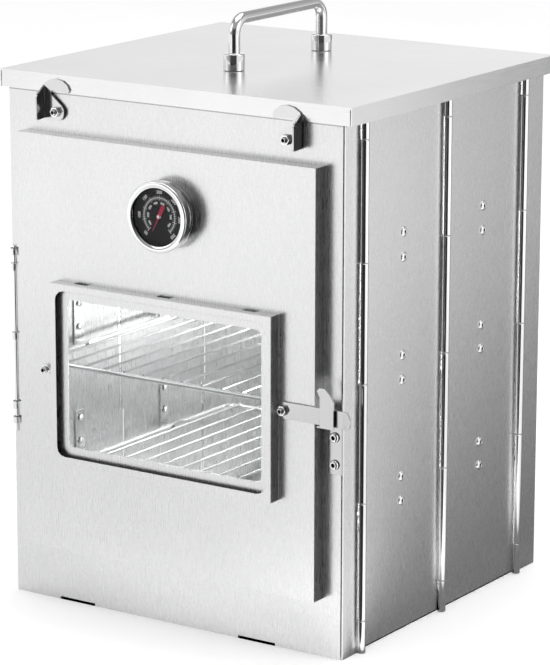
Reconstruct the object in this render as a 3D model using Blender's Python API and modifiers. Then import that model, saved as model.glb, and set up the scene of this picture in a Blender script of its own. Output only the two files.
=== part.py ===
"""Folding camp oven: a sheet steel cabinet whose side walls fold on piano hinges, with a hinged
door, a window, a thermometer, two wire racks, a floor tray and a lift-off lid.

Metres, +Z up, +Y towards the back. The origin is on the ground, at the middle of the front panel's
bottom flange. Inside the script, y is measured from the front panel's face.
"""

import math

import bmesh
import bpy
from mathutils import Matrix, Vector

# Cabinet
cabinet_width = 0.300
cabinet_depth = 0.286
panel_height = 0.4082
sheet = 0.0010
seat_gap = 0.0003
run_gap = 0.0004
overrun = 0.004
hem_depth = 0.014
hem_inset = 0.0002
edge_bend = 0.0016
notch_width = 0.033
notch_height = 0.0022
notch_left_x = -0.091
notch_right_x = 0.075

# Piano hinges down the side walls
front_flange = 0.0235
rear_flange = 0.0335
knuckle_radius = 0.0030
knuckle_sink = 0.0002
hinge_bore = 0.0015
hinge_pin_radius = 0.0012
end_knuckle = 0.025
middle_knuckles = 4
leaf_cutback = 0.0035
leaf_lift = 0.0025
knuckle_lift = 0.0010
pin_recess = 0.0004

# Rack brackets, riveted to the side walls
bracket_width = 0.012
bracket_sheet = 0.0010
bracket_levels = 3
first_level = 0.0886
level_pitch_share = 0.22685
hook_length = 0.0155
hook_lip = 0.0062
rivet_low = 0.0136
rivet_high = 0.0324
bracket_above_rivet = 0.0062
rivet_shank = 0.0017
rivet_head = 0.0040
rivet_head_height = 0.0016
rivet_tail = 0.0028
rivet_tail_height = 0.0015
crown_share = 0.55

# Racks
rack_wire = 0.0020
rack_rung = 0.0011
rack_corner = 0.012
rack_wire_inset = 0.0030
rack_front = 0.012
rack_rear = 0.014
rung_pitch = 0.0179
rung_rise = 0.0022
rung_end = 0.0015

# Floor tray
tray_rim = 0.012
tray_side_gap = 0.010
tray_front_gap = 0.0016
tray_rear_gap = 0.0022

# Door
door_side_margin = 0.0166
door_bottom = 0.0447
door_head_margin = 0.0426
door_depth = 0.0120
opening_margin = 0.0114

# Door hinge. Its heights are shares of the door's height
door_pin_outset = 0.0082
door_pin_forward = 0.0066
door_pin_radius = 0.0016
door_pin_head = 0.0028
door_pin_head_height = 0.0022
door_lug_radius = 0.0034
door_lug_bore = 0.0019
lug_web = 0.0024
frame_lug_height = 0.005
frame_lug_shares = (0.708, 0.297)
door_lug_height = 0.006
door_lug_shares = (0.671, 0.503, 0.334)
door_pin_tail = 0.0065

# Window
window_x = 0.0025
window_side_margin = 0.0336
window_middle_share = 0.442
window_half_height_share = 0.2166
window_frame_depth = 0.0100
window_face = 0.0055
window_corner = 0.007
retainer_side_margin = 0.0105
retainer_top_margin = 0.0125
retainer_corner = 0.005
retainer_margin_x = 0.0012
glass_thickness = 0.0035
glass_clearance = 0.0014
slot_width = 0.0118
slot_depth = 0.0030
slot_shares = (-0.76, 0.0, 0.76)

# Thermometer
dial_x = 0.0048
dial_drop = 0.0476
bezel_radius = 0.0265
bezel_opening = 0.0217
bezel_lip = 0.0012
bezel_depth = 0.0058
bezel_wall = 0.0016
thermometer_depth = 0.0145
case_rim_radius = 0.0258
case_rim_depth = 0.0032
case_radius = 0.0240
case_wall = 0.0010
case_ledge = 0.0016
dial_thickness = 0.0008
dial_recess = 0.0046
lens_thickness = 0.0009
needle_length = 0.0125
needle_tail = 0.0095
needle_tip_width = 0.0009
needle_tail_width = 0.0030
needle_thickness = 0.0005
needle_hub = 0.0017
needle_hub_height = 0.0014
needle_rise = 0.0006
needle_spindle = 0.0006
needle_angle = 206.4
collar_radius = 0.0052
collar_length = 0.0072
probe_radius = 0.0030
probe_length = 0.047
stem_nut_radius = 0.0092
stem_nut_height = 0.0030

# Studs and nuts
stud_radius = 0.0022
stud_bore = 0.0012
stud_bore_depth = 0.0020
stud_head = 0.0042
stud_head_height = 0.0015
nut_radius = 0.0041
nut_height = 0.0028
stud_reach = 0.0020

# Door latch
latch_inset = 0.0261
latch_drop = 0.0005
latch_half_height = 0.0063
latch_length = 0.0600
latch_heel_radius = 0.0047
latch_sheet = 0.0012
latch_stand_off = 0.0005
latch_crease = 0.0510
latch_tab_slope = 0.45
latch_tab_half_height = 0.0069

# Keeper
keeper_outset = 0.0105
keeper_width = 0.012
keeper_sheet = 0.0012
keeper_front_gap = 0.0013
keeper_strap = 0.0375
keeper_shoulder = 0.0193
keeper_horn = 0.0285
keeper_horn_tip = 0.0262
keeper_horn_lean = 0.0025
keeper_plate_shift = 0.0023
keeper_bend_share = 0.35
keeper_slope_share = 0.52
keeper_throat_share = 0.165
keeper_rivet_drops = (0.0109, 0.0314)
keeper_rivet_head = 0.0038
keeper_rivet_height = 0.0022
keeper_rivet_hole = 0.0014

# Lid clamps
clamp_inset = 0.0472
clamp_drop = 0.0264
clamp_sheet = 0.0012
clamp_stand_off = 0.0016
clamp_lobe = 0.0070
clamp_outer = 0.0122
clamp_tab_depth = 0.0094
clamp_collar = 0.0038

# Outline of a clamp across and up from its stud, and its tab's corners, as shares of clamp_outer
clamp_outline_shares = (
    (0.75, -0.5738), (1.0, -0.45), (1.0, 1.1), (0.94, 1.66), (0.5, 1.93), (0.0, 2.03),
    (-0.5, 1.93), (-0.86, 1.68), (-1.01, 1.38), (-0.9, 1.2), (-0.41, 1.26), (0.34, 1.28),
    (0.45, 1.07), (-0.37, 0.41))
clamp_tab_shares = (-0.45, 1.5, 1.58, 1.1, 0.9, -0.38, -0.51)

# Lid
lid_skirt = 0.0135
lid_side_gap = 0.0005
lid_front_gap = 0.0003
lid_rear_gap = 0.0030

# Lid handle
handle_x = -0.006
handle_span = 0.120
handle_behind_middle = 0.007
handle_radius = 0.0045
handle_rise = 0.0385
handle_bend = 0.012
ferrule_radius = 0.0082
ferrule_height = 0.0127
ferrule_wall = 0.0032
handle_screw_head = 0.0055
handle_screw_head_height = 0.0022
handle_screw_radius = 0.0020
handle_screw_length = 0.0075

# Facets
round_sides = 24
rivet_sides = 8
small_sides = 10
knuckle_sides = 10
wire_sides = 6
corner_steps = 3
curve_weld = 0.000001
turned_weld = 0.00001

# Worked out from the values above
half_width = cabinet_width / 2
hinge_x = half_width - sheet + knuckle_sink + knuckle_radius
hinge_inside = knuckle_radius + knuckle_sink
leaf_pitch = (cabinet_depth - front_flange - rear_flange) / 2
middle_hinge_y = front_flange + leaf_pitch
rear_hinge_y = front_flange + 2 * leaf_pitch
knuckle_length = (panel_height - 2 * end_knuckle) / middle_knuckles
level_pitch = panel_height * level_pitch_share
door_half_width = half_width - door_side_margin
door_top = panel_height - door_head_margin
door_height = door_top - door_bottom
door_pin_x = -door_half_width - door_pin_outset
frame_lug_heights = [door_bottom + door_height * share for share in frame_lug_shares]
door_lug_heights = [door_bottom + door_height * share for share in door_lug_shares]
window_z = door_bottom + door_height * window_middle_share
window_half_width = door_half_width - window_side_margin
window_half_height = door_height * window_half_height_share
retainer_half_width = window_half_width - retainer_side_margin
retainer_half_height = window_half_height - retainer_top_margin
slot_places = [window_half_width * share for share in slot_shares]
dial_z = door_top - dial_drop
latch_x = door_half_width - latch_inset
latch_z = window_z - latch_drop
keeper_x = door_half_width + keeper_outset
clamp_x = half_width - clamp_inset
clamp_z = panel_height - clamp_drop
handle_y = cabinet_depth / 2 + handle_behind_middle
door_front = -door_depth
glass_front = door_front - seat_gap - glass_thickness
retainer_front = glass_front - seat_gap - sheet
frame_front = door_front - window_frame_depth
latch_back = door_front - latch_stand_off
latch_front = latch_back - latch_sheet
keeper_inner = latch_front - keeper_front_gap
keeper_floor = latch_z - latch_half_height - seat_gap
keeper_rivet_heights = [keeper_floor - drop for drop in keeper_rivet_drops]
lid_inner_x = hinge_x + knuckle_radius + lid_side_gap
lid_top = panel_height + seat_gap + sheet
lid_rear = cabinet_depth + lid_rear_gap + sheet
tray_floor = sheet + seat_gap
rack_x = half_width - sheet - seat_gap - hook_length + bracket_sheet + rack_wire_inset
clamp_back = -clamp_stand_off
clamp_front = clamp_back - clamp_sheet

for old in list(bpy.data.objects):
    bpy.data.objects.remove(old)
parts = bpy.data.collections.new("folding_camp_oven")
cutters = bpy.data.collections.new("cutters")
bpy.context.scene.collection.children.link(parts)
bpy.context.scene.collection.children.link(cutters)


def material(name, colour, roughness, metallic, alpha=1.0):
    made = bpy.data.materials.new(name)
    made.use_nodes = True
    shader = made.node_tree.nodes["Principled BSDF"]
    shader.inputs["Base Color"].default_value = (*colour, 1.0)
    shader.inputs["Roughness"].default_value = roughness
    shader.inputs["Metallic"].default_value = metallic
    shader.inputs["Alpha"].default_value = alpha
    made.diffuse_color = (*colour, alpha)
    return made


brushed = material("brushed_steel", (0.72, 0.72, 0.72), 0.34, 1.0)
polished = material("polished_steel", (0.84, 0.84, 0.85), 0.12, 1.0)
wire_steel = material("wire_steel", (0.80, 0.80, 0.80), 0.18, 1.0)
clear_glass = material("clear_glass", (0.92, 0.95, 0.94), 0.03, 0.0, 0.25)
dial_black = material("dial_black", (0.02, 0.02, 0.022), 0.35, 0.0)
needle_red = material("needle_red", (0.62, 0.03, 0.06), 0.45, 0.0)


def link(obj, mat, parent, collection=parts):
    """Puts a piece, modelled in the oven's frame, under the empty of its joint."""
    collection.objects.link(obj)
    if mat:
        obj.data.materials.append(mat)
    if parent:
        place = parent["place"]
        obj.data.transform(Matrix.Translation([-value for value in place]))
        obj.parent = parent
    return obj


def joint(name, place, parent):
    """An empty on a joint's axis. It holds its place in the oven's frame."""
    empty = bpy.data.objects.new(name, None)
    parts.objects.link(empty)
    empty["place"] = place
    if parent:
        empty.parent = parent
        empty.location = Vector(place) - Vector(parent["place"])
    return empty


def finish(bm, name, mat, parent, collection=parts):
    bmesh.ops.recalc_face_normals(bm, faces=bm.faces)
    mesh = bpy.data.meshes.new(name)
    bm.to_mesh(mesh)
    bm.free()
    return link(bpy.data.objects.new(name, mesh), mat, parent, collection)


def add_box(bm, low, high):
    low, high = Vector(low), Vector(high)
    size = Matrix.Diagonal((*(high - low), 1))
    bmesh.ops.create_cube(bm, size=1, matrix=Matrix.Translation((low + high) / 2) @ size)


def add_rod(bm, start, end, radius, sides=small_sides):
    start, end = Vector(start), Vector(end)
    along = end - start
    turn = along.to_track_quat("Z", "Y").to_matrix().to_4x4()
    place = Matrix.Translation((start + end) / 2) @ turn
    bmesh.ops.create_cone(
        bm, cap_ends=True, segments=sides, radius1=radius, radius2=radius,
        depth=along.length, matrix=place)


def box(name, low, high, mat, parent, collection=parts):
    bm = bmesh.new()
    add_box(bm, low, high)
    return finish(bm, name, mat, parent, collection)


def boolean(target, other, operation):
    other.hide_render = True
    other.display_type = "WIRE"
    step = target.modifiers.new(other.name, "BOOLEAN")
    step.operation = operation
    step.solver = "EXACT"
    step.object = other


def cut(target, boxes=(), rods=(), name="cutter", sides=small_sides):
    """Cuts boxes (low, high) and rods (start, end, radius), none of which meet each other."""
    bm = bmesh.new()
    for low, high in boxes:
        add_box(bm, low, high)
    for start, end, radius in rods:
        add_rod(bm, start, end, radius, sides)
    cutter = finish(bm, f"{target.name}_{name}", None, target.parent, cutters)
    boolean(target, cutter, "DIFFERENCE")


def mesh_of(obj, weld=curve_weld):
    """The evaluated mesh of an object that is then removed."""
    bpy.context.view_layer.update()
    graph = bpy.context.evaluated_depsgraph_get()
    mesh = bpy.data.meshes.new_from_object(obj.evaluated_get(graph))
    matrix = obj.matrix_world.copy()
    bpy.data.objects.remove(obj)
    bm = bmesh.new()
    bm.from_mesh(mesh)
    bmesh.ops.remove_doubles(bm, verts=bm.verts, dist=weld)
    bmesh.ops.transform(bm, matrix=matrix, verts=bm.verts)
    bpy.data.meshes.remove(mesh)
    return bm


AXES = {
    "x": Matrix(((0, 0, 1, 0), (1, 0, 0, 0), (0, 1, 0, 0), (0, 0, 0, 1))),
    "y": Matrix(((1, 0, 0, 0), (0, 0, -1, 0), (0, 1, 0, 0), (0, 0, 0, 1))),
    "z": Matrix.Identity(4),
}


def outline_bm(loops, axis, low, high):
    """A flat outline, given as loops of points across the axis, with its thickness along it."""
    curve = bpy.data.curves.new("outline", "CURVE")
    curve.dimensions = "2D"
    curve.fill_mode = "BOTH"
    curve.extrude = abs(high - low) / 2
    for loop in loops:
        spline = curve.splines.new("POLY")
        spline.points.add(len(loop) - 1)
        for point, (u, v) in zip(spline.points, loop):
            point.co = (u, v, 0, 1)
        spline.use_cyclic_u = True
    obj = bpy.data.objects.new("outline", curve)
    parts.objects.link(obj)
    middle = (high + low) / 2
    obj.matrix_world = Matrix.Translation([middle * (axis == way) for way in "xyz"]) @ AXES[axis]
    return mesh_of(obj)


def outline(name, loops, axis, low, high, mat, parent, collection=parts):
    return finish(outline_bm(loops, axis, low, high), name, mat, parent, collection)


def join_outline(target, name, loops, axis, low, high):
    """Joins an outline's solid to a piece that it overlaps."""
    boolean(target, outline(name, loops, axis, low, high, None, target.parent, cutters), "UNION")


def arc(centre, radius, start, end, steps):
    """Points round an arc, angles in degrees from +u towards +v."""
    turn = (end - start) / steps
    angles = [math.radians(start + turn * k) for k in range(steps + 1)]
    return [(centre[0] + radius * math.cos(a), centre[1] + radius * math.sin(a)) for a in angles]


def rounded(centre, half_u, half_v, radius, steps=corner_steps):
    loop = []
    for quarter, (sign_u, sign_v) in enumerate(((1, 1), (-1, 1), (-1, -1), (1, -1))):
        corner = (centre[0] + sign_u * (half_u - radius), centre[1] + sign_v * (half_v - radius))
        loop += arc(corner, radius, 90 * quarter, 90 * (quarter + 1), steps)
    return loop


FACING = {
    "front": Matrix.Rotation(math.radians(90), 4, "X"),
    "back": Matrix.Rotation(math.radians(-90), 4, "X"),
    "right": Matrix.Rotation(math.radians(90), 4, "Y"),
    "left": Matrix.Rotation(math.radians(-90), 4, "Y"),
    "top": Matrix.Identity(4),
    "under": Matrix.Rotation(math.radians(180), 4, "X"),
}


def turned_bm(profile, places, facing, sides=small_sides):
    """A turned shape at each of the places given.

    The profile is (radius, height) from the top down the outer side. It starts and ends on the
    axis, or comes round to its first point again. Height runs the way that the piece faces.
    """
    mesh = bpy.data.meshes.new("profile")
    edges = [(k, k + 1) for k in range(len(profile) - 1)]
    if profile[0][0] > 0:
        edges.append((len(profile) - 1, 0))
    mesh.from_pydata([(radius, 0, height) for radius, height in profile], edges, [])
    obj = bpy.data.objects.new("profile", mesh)
    parts.objects.link(obj)
    screw = obj.modifiers.new("turn", "SCREW")
    screw.steps = screw.render_steps = sides
    screw.use_merge_vertices = True
    screw.merge_threshold = turned_weld
    one = mesh_of(obj, turned_weld)
    bmesh.ops.recalc_face_normals(one, faces=one.faces)
    template = bpy.data.meshes.new("template")
    one.to_mesh(template)
    one.free()
    bm = bmesh.new()
    for place in places:
        first = len(bm.verts)
        bm.from_mesh(template)
        bm.verts.ensure_lookup_table()
        matrix = Matrix.Translation(place) @ FACING[facing]
        bmesh.ops.transform(bm, matrix=matrix, verts=bm.verts[first:])
    bpy.data.meshes.remove(template)
    return bm


def turned(name, profile, place, facing, mat, parent, sides=small_sides):
    obj = finish(turned_bm(profile, [place], facing, sides), name, mat, parent)
    obj.data.shade_smooth()
    obj.data.set_sharp_from_angle(angle=math.radians(35))
    return obj


def hexagon(centre, radius):
    return arc(centre, radius, 0, 300, 5)


def circle(centre, radius, sides=small_sides):
    half_step = 180 / sides
    return arc(centre, radius, half_step, 360 - half_step, sides - 1)


def knuckle_spans(first):
    """The knuckles of one neighbour, from the bottom up: every other one, from the given one."""
    edges = [0] + [end_knuckle + knuckle_length * k for k in range(middle_knuckles + 1)]
    edges.append(panel_height)
    spans = list(zip(edges, edges[1:]))
    return spans[first::2]


def knuckle_notches(side, y, towards, first):
    """Boxes that clear a hinge edge for the other neighbour's knuckles.

    The edge comes to the hinge from the side that towards points at, 1 for larger y.
    """
    inner = side * (hinge_x - hinge_inside - overrun)
    outer = side * (hinge_x + knuckle_radius + overrun)
    near = y - towards * (knuckle_radius + overrun)
    far = y + towards * leaf_cutback
    notches = []
    for low, high in knuckle_spans(first):
        low = low - overrun if low <= 0 else low - run_gap / 2
        high = high + overrun if high >= panel_height else high + run_gap / 2
        notches.append((
            (min(inner, outer), min(near, far), low), (max(inner, outer), max(near, far), high)))
    return notches


def hinge_line(side, y):
    return (side * hinge_x, y)


def rolled_edge(y, towards):
    """The right side's rolled edge in plan, from the sheet's outer face round to its inner face."""
    sheet_out = hinge_x - half_width
    lead = math.degrees(math.acos(sheet_out / knuckle_radius))
    points = arc((hinge_x, 0), knuckle_radius, -180 + lead, 180, knuckle_sides)
    points.append((half_width - sheet, 0))
    return [(u, y - towards * v) for u, v in points]


def channel(name, face_y, back, flange, first, parent):
    """A front or rear panel: a face with a flange down each side, which ends in a rolled edge.

    The flange runs the way that back points, from the face at face_y.
    """
    hinge_y = face_y + back * flange
    inner_y = face_y + back * sheet
    bend = arc((half_width - edge_bend, edge_bend), edge_bend, -90, 0, corner_steps)
    right = [(u, face_y + back * v) for u, v in bend]
    right += rolled_edge(hinge_y, -back)
    right.append((half_width - sheet, inner_y))
    left = [(-u, v) for u, v in reversed(right)]
    loops = [right + left] + [circle(hinge_line(side, hinge_y), hinge_bore) for side in (-1, 1)]
    panel = outline(name, loops, "z", 0, panel_height, brushed, parent)
    hem_x = half_width - sheet - seat_gap
    hem_y = sorted((face_y + back * sheet / 2, face_y + back * hem_depth))
    for end, low in (("bottom", 0), ("top", panel_height - sheet - hem_inset)):
        hem = box(name + "_" + end + "_hem", (-hem_x, hem_y[0], low),
                  (hem_x, hem_y[1], low + sheet), None, parent, cutters)
        boolean(panel, hem, "UNION")
    notches = []
    for side in (-1, 1):
        notches += knuckle_notches(side, hinge_y, -back, first)
    return panel, notches


def side_leaf(name, side, near_y, first, parent):
    """A side wall's leaf, rolled round the hinge pins at both of its edges."""
    far_y = near_y + leaf_pitch
    points = rolled_edge(near_y, 1)
    points = points[::-1] + rolled_edge(far_y, -1)
    loop = [(side * u, v) for u, v in points]
    loops = [loop] + [circle(hinge_line(side, y), hinge_bore) for y in (near_y, far_y)]
    leaf = outline(name, loops, "z", knuckle_lift, panel_height, brushed, parent)
    notches = knuckle_notches(side, near_y, 1, first) + knuckle_notches(side, far_y, -1, first)
    inner = side * (half_width - sheet - overrun)
    outer = side * (half_width + overrun)
    lift_inset = (leaf_cutback + knuckle_radius) / 2
    lift = ((min(inner, outer), near_y + lift_inset, -overrun),
            (max(inner, outer), far_y - lift_inset, leaf_lift))
    middle = near_y + leaf_pitch / 2
    holes = [((inner, middle, z), (outer, middle, z), rivet_shank + seat_gap)
             for z in rivet_heights()]
    cut(leaf, notches, holes, sides=rivet_sides)
    cut(leaf, [lift], name="lift")
    return leaf


def level_height(level):
    return first_level + level * level_pitch


def rivet_heights():
    heights = []
    for level in range(bracket_levels):
        heights += [level_height(level) + rivet_low, level_height(level) + rivet_high]
    return heights


def bracket(name, side, y, level, parent):
    """A strap against the wall with a hook at its foot, which a rack's side wire lies in.

    Its two rivets go through the wall and are set for good, so they are one body with it.
    """
    wall = half_width - sheet - seat_gap
    floor = level_height(level)
    top = floor + rivet_high + bracket_above_rivet
    inner = wall - hook_length
    profile = [
        (wall, floor - bracket_sheet), (wall, top), (wall - bracket_sheet, top),
        (wall - bracket_sheet, floor), (inner + bracket_sheet, floor),
        (inner + bracket_sheet, floor + hook_lip), (inner, floor + hook_lip),
        (inner, floor - bracket_sheet)]
    loop = [(side * u, v) for u, v in profile]
    made = outline(name, [loop], "y", y - bracket_width / 2, y + bracket_width / 2, brushed, parent)
    tail_seat = bracket_sheet / 2 - sheet - seat_gap - bracket_sheet
    tail_end = tail_seat - bracket_sheet / 2 - rivet_tail_height
    crown = seat_gap + rivet_head_height
    rivet = [(0, crown), (rivet_head * crown_share, crown), (rivet_head, seat_gap),
             (rivet_shank, seat_gap), (rivet_shank, tail_seat), (rivet_tail, tail_seat),
             (rivet_tail, tail_end), (0, tail_end)]
    places = [(side * half_width, y, floor + rise) for rise in (rivet_low, rivet_high)]
    bm = turned_bm(rivet, places, "right" if side > 0 else "left", rivet_sides)
    boolean(made, finish(bm, name + "_rivets", None, parent, cutters), "UNION")
    return made


def hinge_pin(name, side, y, parent):
    x = side * hinge_x
    bm = bmesh.new()
    low, high = knuckle_lift + pin_recess, panel_height - pin_recess
    add_rod(bm, (x, y, low), (x, y, high), hinge_pin_radius)
    return finish(bm, name, polished, parent)


def rack(name, level, parent):
    """A wire rack: a rounded rim, with rungs from front to back across it."""
    z = level_height(level) + seat_gap + rack_wire
    low_y, high_y = rack_front, cabinet_depth - rack_rear
    middle = (low_y + high_y) / 2
    curve = bpy.data.curves.new(name, "CURVE")
    curve.dimensions = "3D"
    curve.bevel_depth = rack_wire
    curve.bevel_resolution = 2
    spline = curve.splines.new("POLY")
    loop = rounded((0, middle), rack_x, (high_y - low_y) / 2, rack_corner)
    spline.points.add(len(loop) - 1)
    for point, (u, v) in zip(spline.points, loop):
        point.co = (u, v, z, 1)
    spline.use_cyclic_u = True
    rim = bpy.data.objects.new(name, curve)
    parts.objects.link(rim)
    made = finish(mesh_of(rim), name, wire_steel, parent)
    bm = bmesh.new()
    count = int((rack_x - rung_pitch / 2) / rung_pitch)
    height = z + rung_rise
    for k in range(-count, count + 1):
        add_rod(bm, (k * rung_pitch, low_y - rung_end, height),
                (k * rung_pitch, high_y + rung_end, height), rack_rung, wire_sides)
    boolean(made, finish(bm, name + "_rungs", None, parent, cutters), "UNION")
    return made


def lug_loops(pin_radius_out, end_u, end_v):
    """A knuckle in plan with a flat web from the pin to the point given, along x or along y."""
    pin = (door_pin_x, -door_pin_forward)
    half = lug_web / 2
    lead = math.degrees(math.asin(half / pin_radius_out))
    if end_u:
        loop = arc(pin, pin_radius_out, lead, 360 - lead, knuckle_sides)
        loop += [(end_u, pin[1] - half), (end_u, pin[1] + half)]
    else:
        loop = arc(pin, pin_radius_out, 90 + lead, 450 - lead, knuckle_sides)
        loop += [(pin[0] + half, end_v), (pin[0] - half, end_v)]
    return [loop, circle(pin, door_lug_bore)]


def stud(name, place, reach, parent, collar_span=None):
    """A stud with its head behind the sheet and a hollow tip in front, which it faces.

    Heights are measured from the sheet's front face. A collar, if any, is between two heights.
    """
    back = -(sheet + seat_gap)
    profile = [(0, reach - stud_bore_depth), (stud_bore, reach - stud_bore_depth),
               (stud_bore, reach), (stud_radius, reach)]
    if collar_span:
        low, high = collar_span
        profile += [(stud_radius, high), (clamp_collar, high),
                    (clamp_collar, low), (stud_radius, low)]
    profile += [(stud_radius, back), (stud_head, back),
                (stud_head, back - stud_head_height), (0, back - stud_head_height)]
    return turned(name, profile, place, "front", polished, parent)


def nut(name, x, z, low, high, parent):
    """A hexagon nut on a stud that faces the front, between two y values."""
    loops = [hexagon((x, z), nut_radius), circle((x, z), stud_radius + seat_gap)]
    return outline(name, loops, "y", low, high, polished, parent)


oven = joint("oven", (0, 0, 0), None)
oven.location = (0, -hem_depth / 2, 0)

left_front_hinge = joint("left_front_hinge", (-hinge_x, front_flange, 0), oven)
left_middle_hinge = joint("left_middle_hinge", (-hinge_x, middle_hinge_y, 0), left_front_hinge)
left_rear_hinge = joint("left_rear_hinge", (-hinge_x, rear_hinge_y, 0), left_middle_hinge)
right_front_hinge = joint("right_front_hinge", (hinge_x, front_flange, 0), oven)
right_middle_hinge = joint("right_middle_hinge", (hinge_x, middle_hinge_y, 0), right_front_hinge)
door_joint = joint("door_hinge", (door_pin_x, -door_pin_forward, 0), oven)
latch_joint = joint("latch_pivot", (latch_x, latch_front, latch_z), door_joint)
needle_joint = joint("needle_axis", (dial_x, door_front, dial_z), door_joint)
left_clamp_joint = joint("left_clamp_pivot", (-clamp_x, clamp_front, clamp_z), oven)
right_clamp_joint = joint("right_clamp_pivot", (clamp_x, clamp_front, clamp_z), oven)
lid_joint = joint("lid_lift", (0, cabinet_depth / 2, panel_height), oven)
tray_joint = joint("tray_lift", (0, cabinet_depth / 2, tray_floor), oven)
lower_rack_joint = joint("lower_rack_lift", (0, cabinet_depth / 2, level_height(0)), oven)
upper_rack_joint = joint("upper_rack_lift", (0, cabinet_depth / 2, level_height(1)), oven)


def front_panel():
    panel, notches = channel("front_panel", 0, 1, front_flange, 1, oven)
    for number, middle in enumerate(frame_lug_heights):
        join_outline(panel, f"frame_lug_{number}", lug_loops(door_lug_radius, None, sheet / 2),
                     "z", middle - frame_lug_height / 2, middle + frame_lug_height / 2)
    opening_x = door_half_width - opening_margin
    notches.append(((-opening_x, -overrun, door_bottom + opening_margin),
                    (opening_x, sheet + overrun, door_top - opening_margin)))
    for x in (notch_left_x, notch_right_x):
        notches.append(((x - notch_width / 2, -overrun, -overrun),
                        (x + notch_width / 2, hem_depth + overrun, notch_height)))
    holes = [((side * clamp_x, -overrun, clamp_z), (side * clamp_x, sheet + overrun, clamp_z),
              stud_radius + seat_gap) for side in (-1, 1)]
    holes += [((keeper_x, -overrun, z), (keeper_x, sheet + overrun, z), rivet_shank + seat_gap)
              for z in keeper_rivet_heights]
    cut(panel, notches, holes)


def rear_panel():
    panel, notches = channel("rear_panel", cabinet_depth, -1, rear_flange, 0, left_rear_hinge)
    cut(panel, notches)


def side_walls():
    walls = (("left", -1, left_front_hinge, left_middle_hinge, left_rear_hinge),
             ("right", 1, right_front_hinge, right_middle_hinge, None))
    for word, side, front_joint, middle_joint, rear_joint in walls:
        side_leaf(word + "_front_leaf", side, front_flange, 0, front_joint)
        side_leaf(word + "_rear_leaf", side, middle_hinge_y, 1, middle_joint)
        hinge_pin(word + "_front_pin", side, front_flange, oven)
        hinge_pin(word + "_middle_pin", side, middle_hinge_y, front_joint)
        hinge_pin(word + "_rear_pin", side, rear_hinge_y, middle_joint)
        for place, near_y, its_joint in (("front", front_flange, front_joint),
                                         ("rear", middle_hinge_y, middle_joint)):
            middle = near_y + leaf_pitch / 2
            for level in range(bracket_levels):
                bracket(f"{word}_{place}_bracket_{level + 1}", side, middle, level, its_joint)


def floor_tray():
    half = half_width - sheet - tray_side_gap
    low_y, high_y = sheet + tray_front_gap, cabinet_depth - sheet - tray_rear_gap
    tray = box("floor_tray", (-half, low_y, tray_floor), (half, high_y, tray_floor + tray_rim),
               brushed, tray_joint)
    cut(tray, [((-half + sheet, low_y + sheet, tray_floor + sheet),
                (half - sheet, high_y - sheet, tray_floor + tray_rim + overrun))])


def door():
    panel = box("door_panel", (-door_half_width, door_front, door_bottom),
                (door_half_width, -seat_gap, door_top), brushed, door_joint)
    inside = ((-door_half_width + sheet, door_front + sheet, door_bottom + sheet),
              (door_half_width - sheet, overrun, door_top - sheet))
    cut(panel, [inside])
    window = ((window_x - retainer_half_width, window_x + retainer_half_width),
              (window_z - retainer_half_height, window_z + retainer_half_height))
    skin = (door_front - overrun, door_front + sheet + overrun)
    holes = [((dial_x, skin[0], dial_z), (dial_x, skin[1], dial_z), collar_radius + seat_gap)]
    for x in (-latch_x, latch_x):
        holes.append(((x, skin[0], latch_z), (x, skin[1], latch_z), stud_radius + seat_gap))
    bm = bmesh.new()
    add_box(bm, (window[0][0], skin[0], window[1][0]), (window[0][1], skin[1], window[1][1]))
    for start, end, radius in holes:
        add_rod(bm, start, end, radius)
    boolean(panel, finish(bm, "door_holes", None, door_joint, cutters), "DIFFERENCE")
    for number, middle in enumerate(door_lug_heights):
        join_outline(panel, f"door_lug_{number}",
                     lug_loops(door_lug_radius, -door_half_width + sheet / 2, None),
                     "z", middle - door_lug_height / 2, middle + door_lug_height / 2)
    head_seat = frame_lug_heights[0] + frame_lug_height / 2 + seat_gap
    tail = frame_lug_heights[-1] - frame_lug_height / 2 - door_pin_tail
    profile = [(0, door_pin_head_height), (door_pin_head, door_pin_head_height),
               (door_pin_head, 0), (door_pin_radius, 0), (door_pin_radius, tail - head_seat),
               (0, tail - head_seat)]
    turned("door_hinge_pin", profile, (door_pin_x, -door_pin_forward, head_seat), "top",
           polished, oven)


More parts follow.
